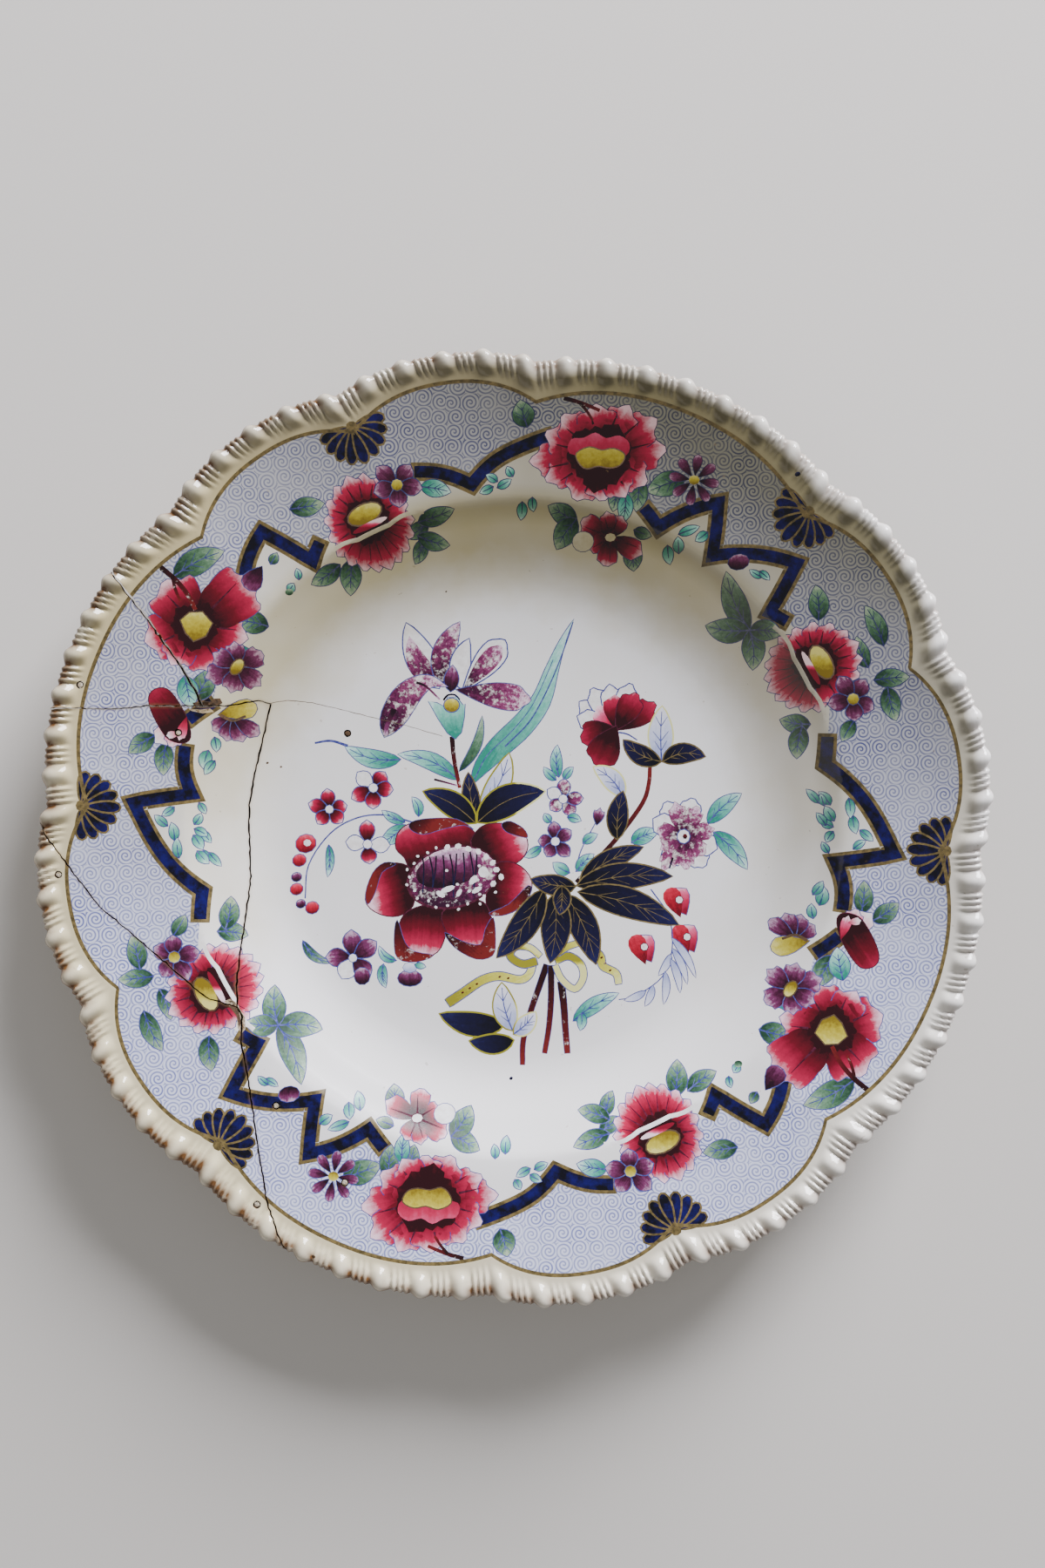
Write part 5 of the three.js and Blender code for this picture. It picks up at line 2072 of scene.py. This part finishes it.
        for base, tip in (
            ((44, -35.6), (40.6, -41.6)), ((44, -37), (46.6, -46.4)), ((42.4, -40.6), (42, -49.6)),
            ((39, -44.4), (36.8, -50.2)), ((44.4, -34), (48.6, -44)), ((37, -46), (31, -48.6)),
            ((44.2, -31), (51, -42.2)),
        ):
            b.leaf(base, tip, 1.9, PALE, vein=None)
        b.leaf((16.6, -54.4), (29.4, -46.6), 4.2, TEAL, 0.05)
        b.leaf((19, -52.2), (18.6, -57), 2.6, TEAL)

    def bow(self) -> None:
        """The straw yellow ribbon and the cut stems below it."""
        b = self.brush
        for line, width in (
            (((9.2, -38.6), (7, -45), (4.6, -52), (2.6, -60), (2.4, -66.6)), 1.7),
            (((10.4, -38.8), (10.4, -48), (9.8, -56), (8.6, -63.4)), 1.7),
            (((13.2, -43.4), (14, -50), (14.4, -56), (15, -63.4)), 2.0),
        ):
            b.stem(line, width, RUSSET, 0.15)
        ribbons = (
            (
                (
                    (-18.6, -49.4), (-14.4, -46.6), (-9, -43), (-4.2, -41.8), (1.4, -42.8), (4.2, -41.4),
                    (5.4, -38),
                ),
                2.6,
            ),
            (((6.4, -37.6), (2.4, -38.4), (-1, -36.2), (0.4, -33.6), (4.4, -33.8), (7.4, -36.2)), 2.2),
            (
                (
                    (11.6, -37.4), (15.4, -36.2), (18.8, -38.6), (19.4, -42.4), (17, -45.4), (13.4, -42.6),
                    (11.6, -38.8),
                ),
                2.1,
            ),
            (((12, -35.4), (15.4, -33.4), (19.4, -32.2)), 2.0),
            (((19.6, -32.6), (24, -36), (25, -39), (28.6, -41), (29.4, -44)), 2.4),
        )
        for points, width in ribbons:
            b.stem(points, width, BOW, 0.26)
        for x, y in (
            (-14.4, -46.4), (-12.4, -45.2), (-10.4, -44), (-4, -42), (-1.6, -42.4), (25.6, -38.2),
            (27, -40.2), (24.6, -36.6),
        ):
            b.disc((x, y), 0.45, 0.3, RUSSET, 30, sides=6)
        b.leaf((-2.6, -55.2), (-20.8, -52.4), 6.4, NAVY, 0.08, 0.5, BOW, None)
        b.leaf((-0.2, -59.8), (-12.4, -60), 5.2, NAVY, 0.08, 0.5, BOW, None)
        b.leaf((-0.4, -57), (-3.4, -43.8), 6.2, PALE, 0.06, 0.45, BOW)
        b.leaf((0, -58), (6, -52), 4.6, PALE, -0.06, 0.45, BOW)

    def paint_all(self) -> None:
        """Paints the bunch from back to front."""
        self.back_leaves()
        self.iris()
        self.small_flowers()
        self.carnation()
        self.right_flower()
        self.bow()
        self.trio()
        self.peony()
        self.dark_leaves()


def painted_decoration() -> list[Stroke]:
    """Every stroke of paint on the face, first laid first, and the specks burnt into the glaze."""
    brush = Brush()
    Border(brush).paint_all()
    Bunch(brush).paint_all()
    specks = (
        ((77.4, 96.6), 0.8, NAVY), ((-54.5, -116.7), 0.55, STAIN), ((-0.8, -70.3), 0.55, NAVY),
        ((-69, 18), 0.4, STAIN), ((-65.3, 16.9), 0.35, STAIN), ((-19, 66), 0.3, STAIN),
    )
    for at, radius, paint in specks:
        middle = FORM.stretched(np.array([at], float))[0]
        brush.disc(tuple(middle.tolist()), radius, radius * 0.8, paint, 30, sides=8)
    return brush.strokes


# ---- setting


@dataclass
class Studio:
    """The plain pale floor, the soft light and the camera above the plate."""

    lens_mm: float = 50.0
    camera_at: tuple[float, float, float] = (0.0024, 0.0121, 0.617)

    def floor(self) -> None:
        """A wide pale floor under the foot ring."""
        material = bpy.data.materials.new("Pale_floor")
        material.use_nodes = True
        shader = material.node_tree.nodes["Principled BSDF"]
        shader.inputs["Base Color"].default_value = linear("#CFCBC4")
        shader.inputs["Roughness"].default_value = 0.8
        mesh = bpy.data.meshes.new("floor")
        w = 3.0
        mesh.from_pydata([(-w, -w, 0), (w, -w, 0), (w, w, 0), (-w, w, 0)], [], [(0, 1, 2, 3)])
        mesh.materials.append(material)
        made = bpy.data.objects.new("floor", mesh)
        bpy.context.scene.collection.objects.link(made)

    def lamp(
        self, name: str, at: Sequence[float], aim: Sequence[float], size: float, watts: float, tint: str,
    ) -> None:
        """One square soft lamp that faces a point."""
        light = bpy.data.lights.new(name, "AREA")
        light.size = size
        light.energy = watts
        light.color = linear(tint)[:3]
        made = bpy.data.objects.new(name, light)
        made.location = at
        made.rotation_mode = "QUATERNION"
        made.rotation_quaternion = (Vector(aim) - Vector(at)).to_track_quat("-Z", "Y")
        bpy.context.scene.collection.objects.link(made)

    def lights(self) -> None:
        """A cool window up and to the right, a weak warm fill and a dim even sky."""
        self.lamp("window", (1.0, 1.85, 0.80), (-0.02, -0.02, 0.01), 1.1, 196.0, "#F6F6FF")
        self.lamp("fill", (-0.8, -0.5, 1.1), (0, 0, 0), 1.2, 3.0, "#FFF4E6")
        world = bpy.data.worlds.new("sky")
        world.use_nodes = True
        sky = world.node_tree.nodes["Background"]
        sky.inputs["Color"].default_value = linear("#E8EAF0")
        sky.inputs["Strength"].default_value = 0.4
        bpy.context.scene.world = world

    def camera(self) -> None:
        """The camera straight above, a little towards the far right."""
        data = bpy.data.cameras.new("camera")
        data.lens = self.lens_mm
        data.sensor_width = 36.0
        data.clip_start = 0.01
        made = bpy.data.objects.new("camera", data)
        made.location = self.camera_at
        bpy.context.scene.collection.objects.link(made)
        bpy.context.scene.camera = made


def write_sizes() -> None:
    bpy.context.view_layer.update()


def main() -> None:
    """Builds every piece, the mending and the setting."""
    logging.basicConfig(level=logging.INFO, format="%(message)s")
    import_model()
    write_sizes()
    PALETTE.update(make_palette())
    ware = Ware(painted_decoration())
    ware.lay_out()
    LOG.info("face laid out: %d triangles, %d strokes", len(ware.layout["faces"]), len(ware.strokes))
    for name in ("main_plate", "upper_left_piece", "left_piece", "lower_left_piece"):
        place_piece = ware.make_piece(name)
        place_piece.name = name + "_ware"
        place(place_piece, name, "glazed_ware")
    mending = Mending()
    mending.staples()
    mending.plugs()
    studio = Studio()
    studio.floor()
    studio.lights()
    studio.camera()
    write_sizes()


if __name__ == "__main__":
    main()
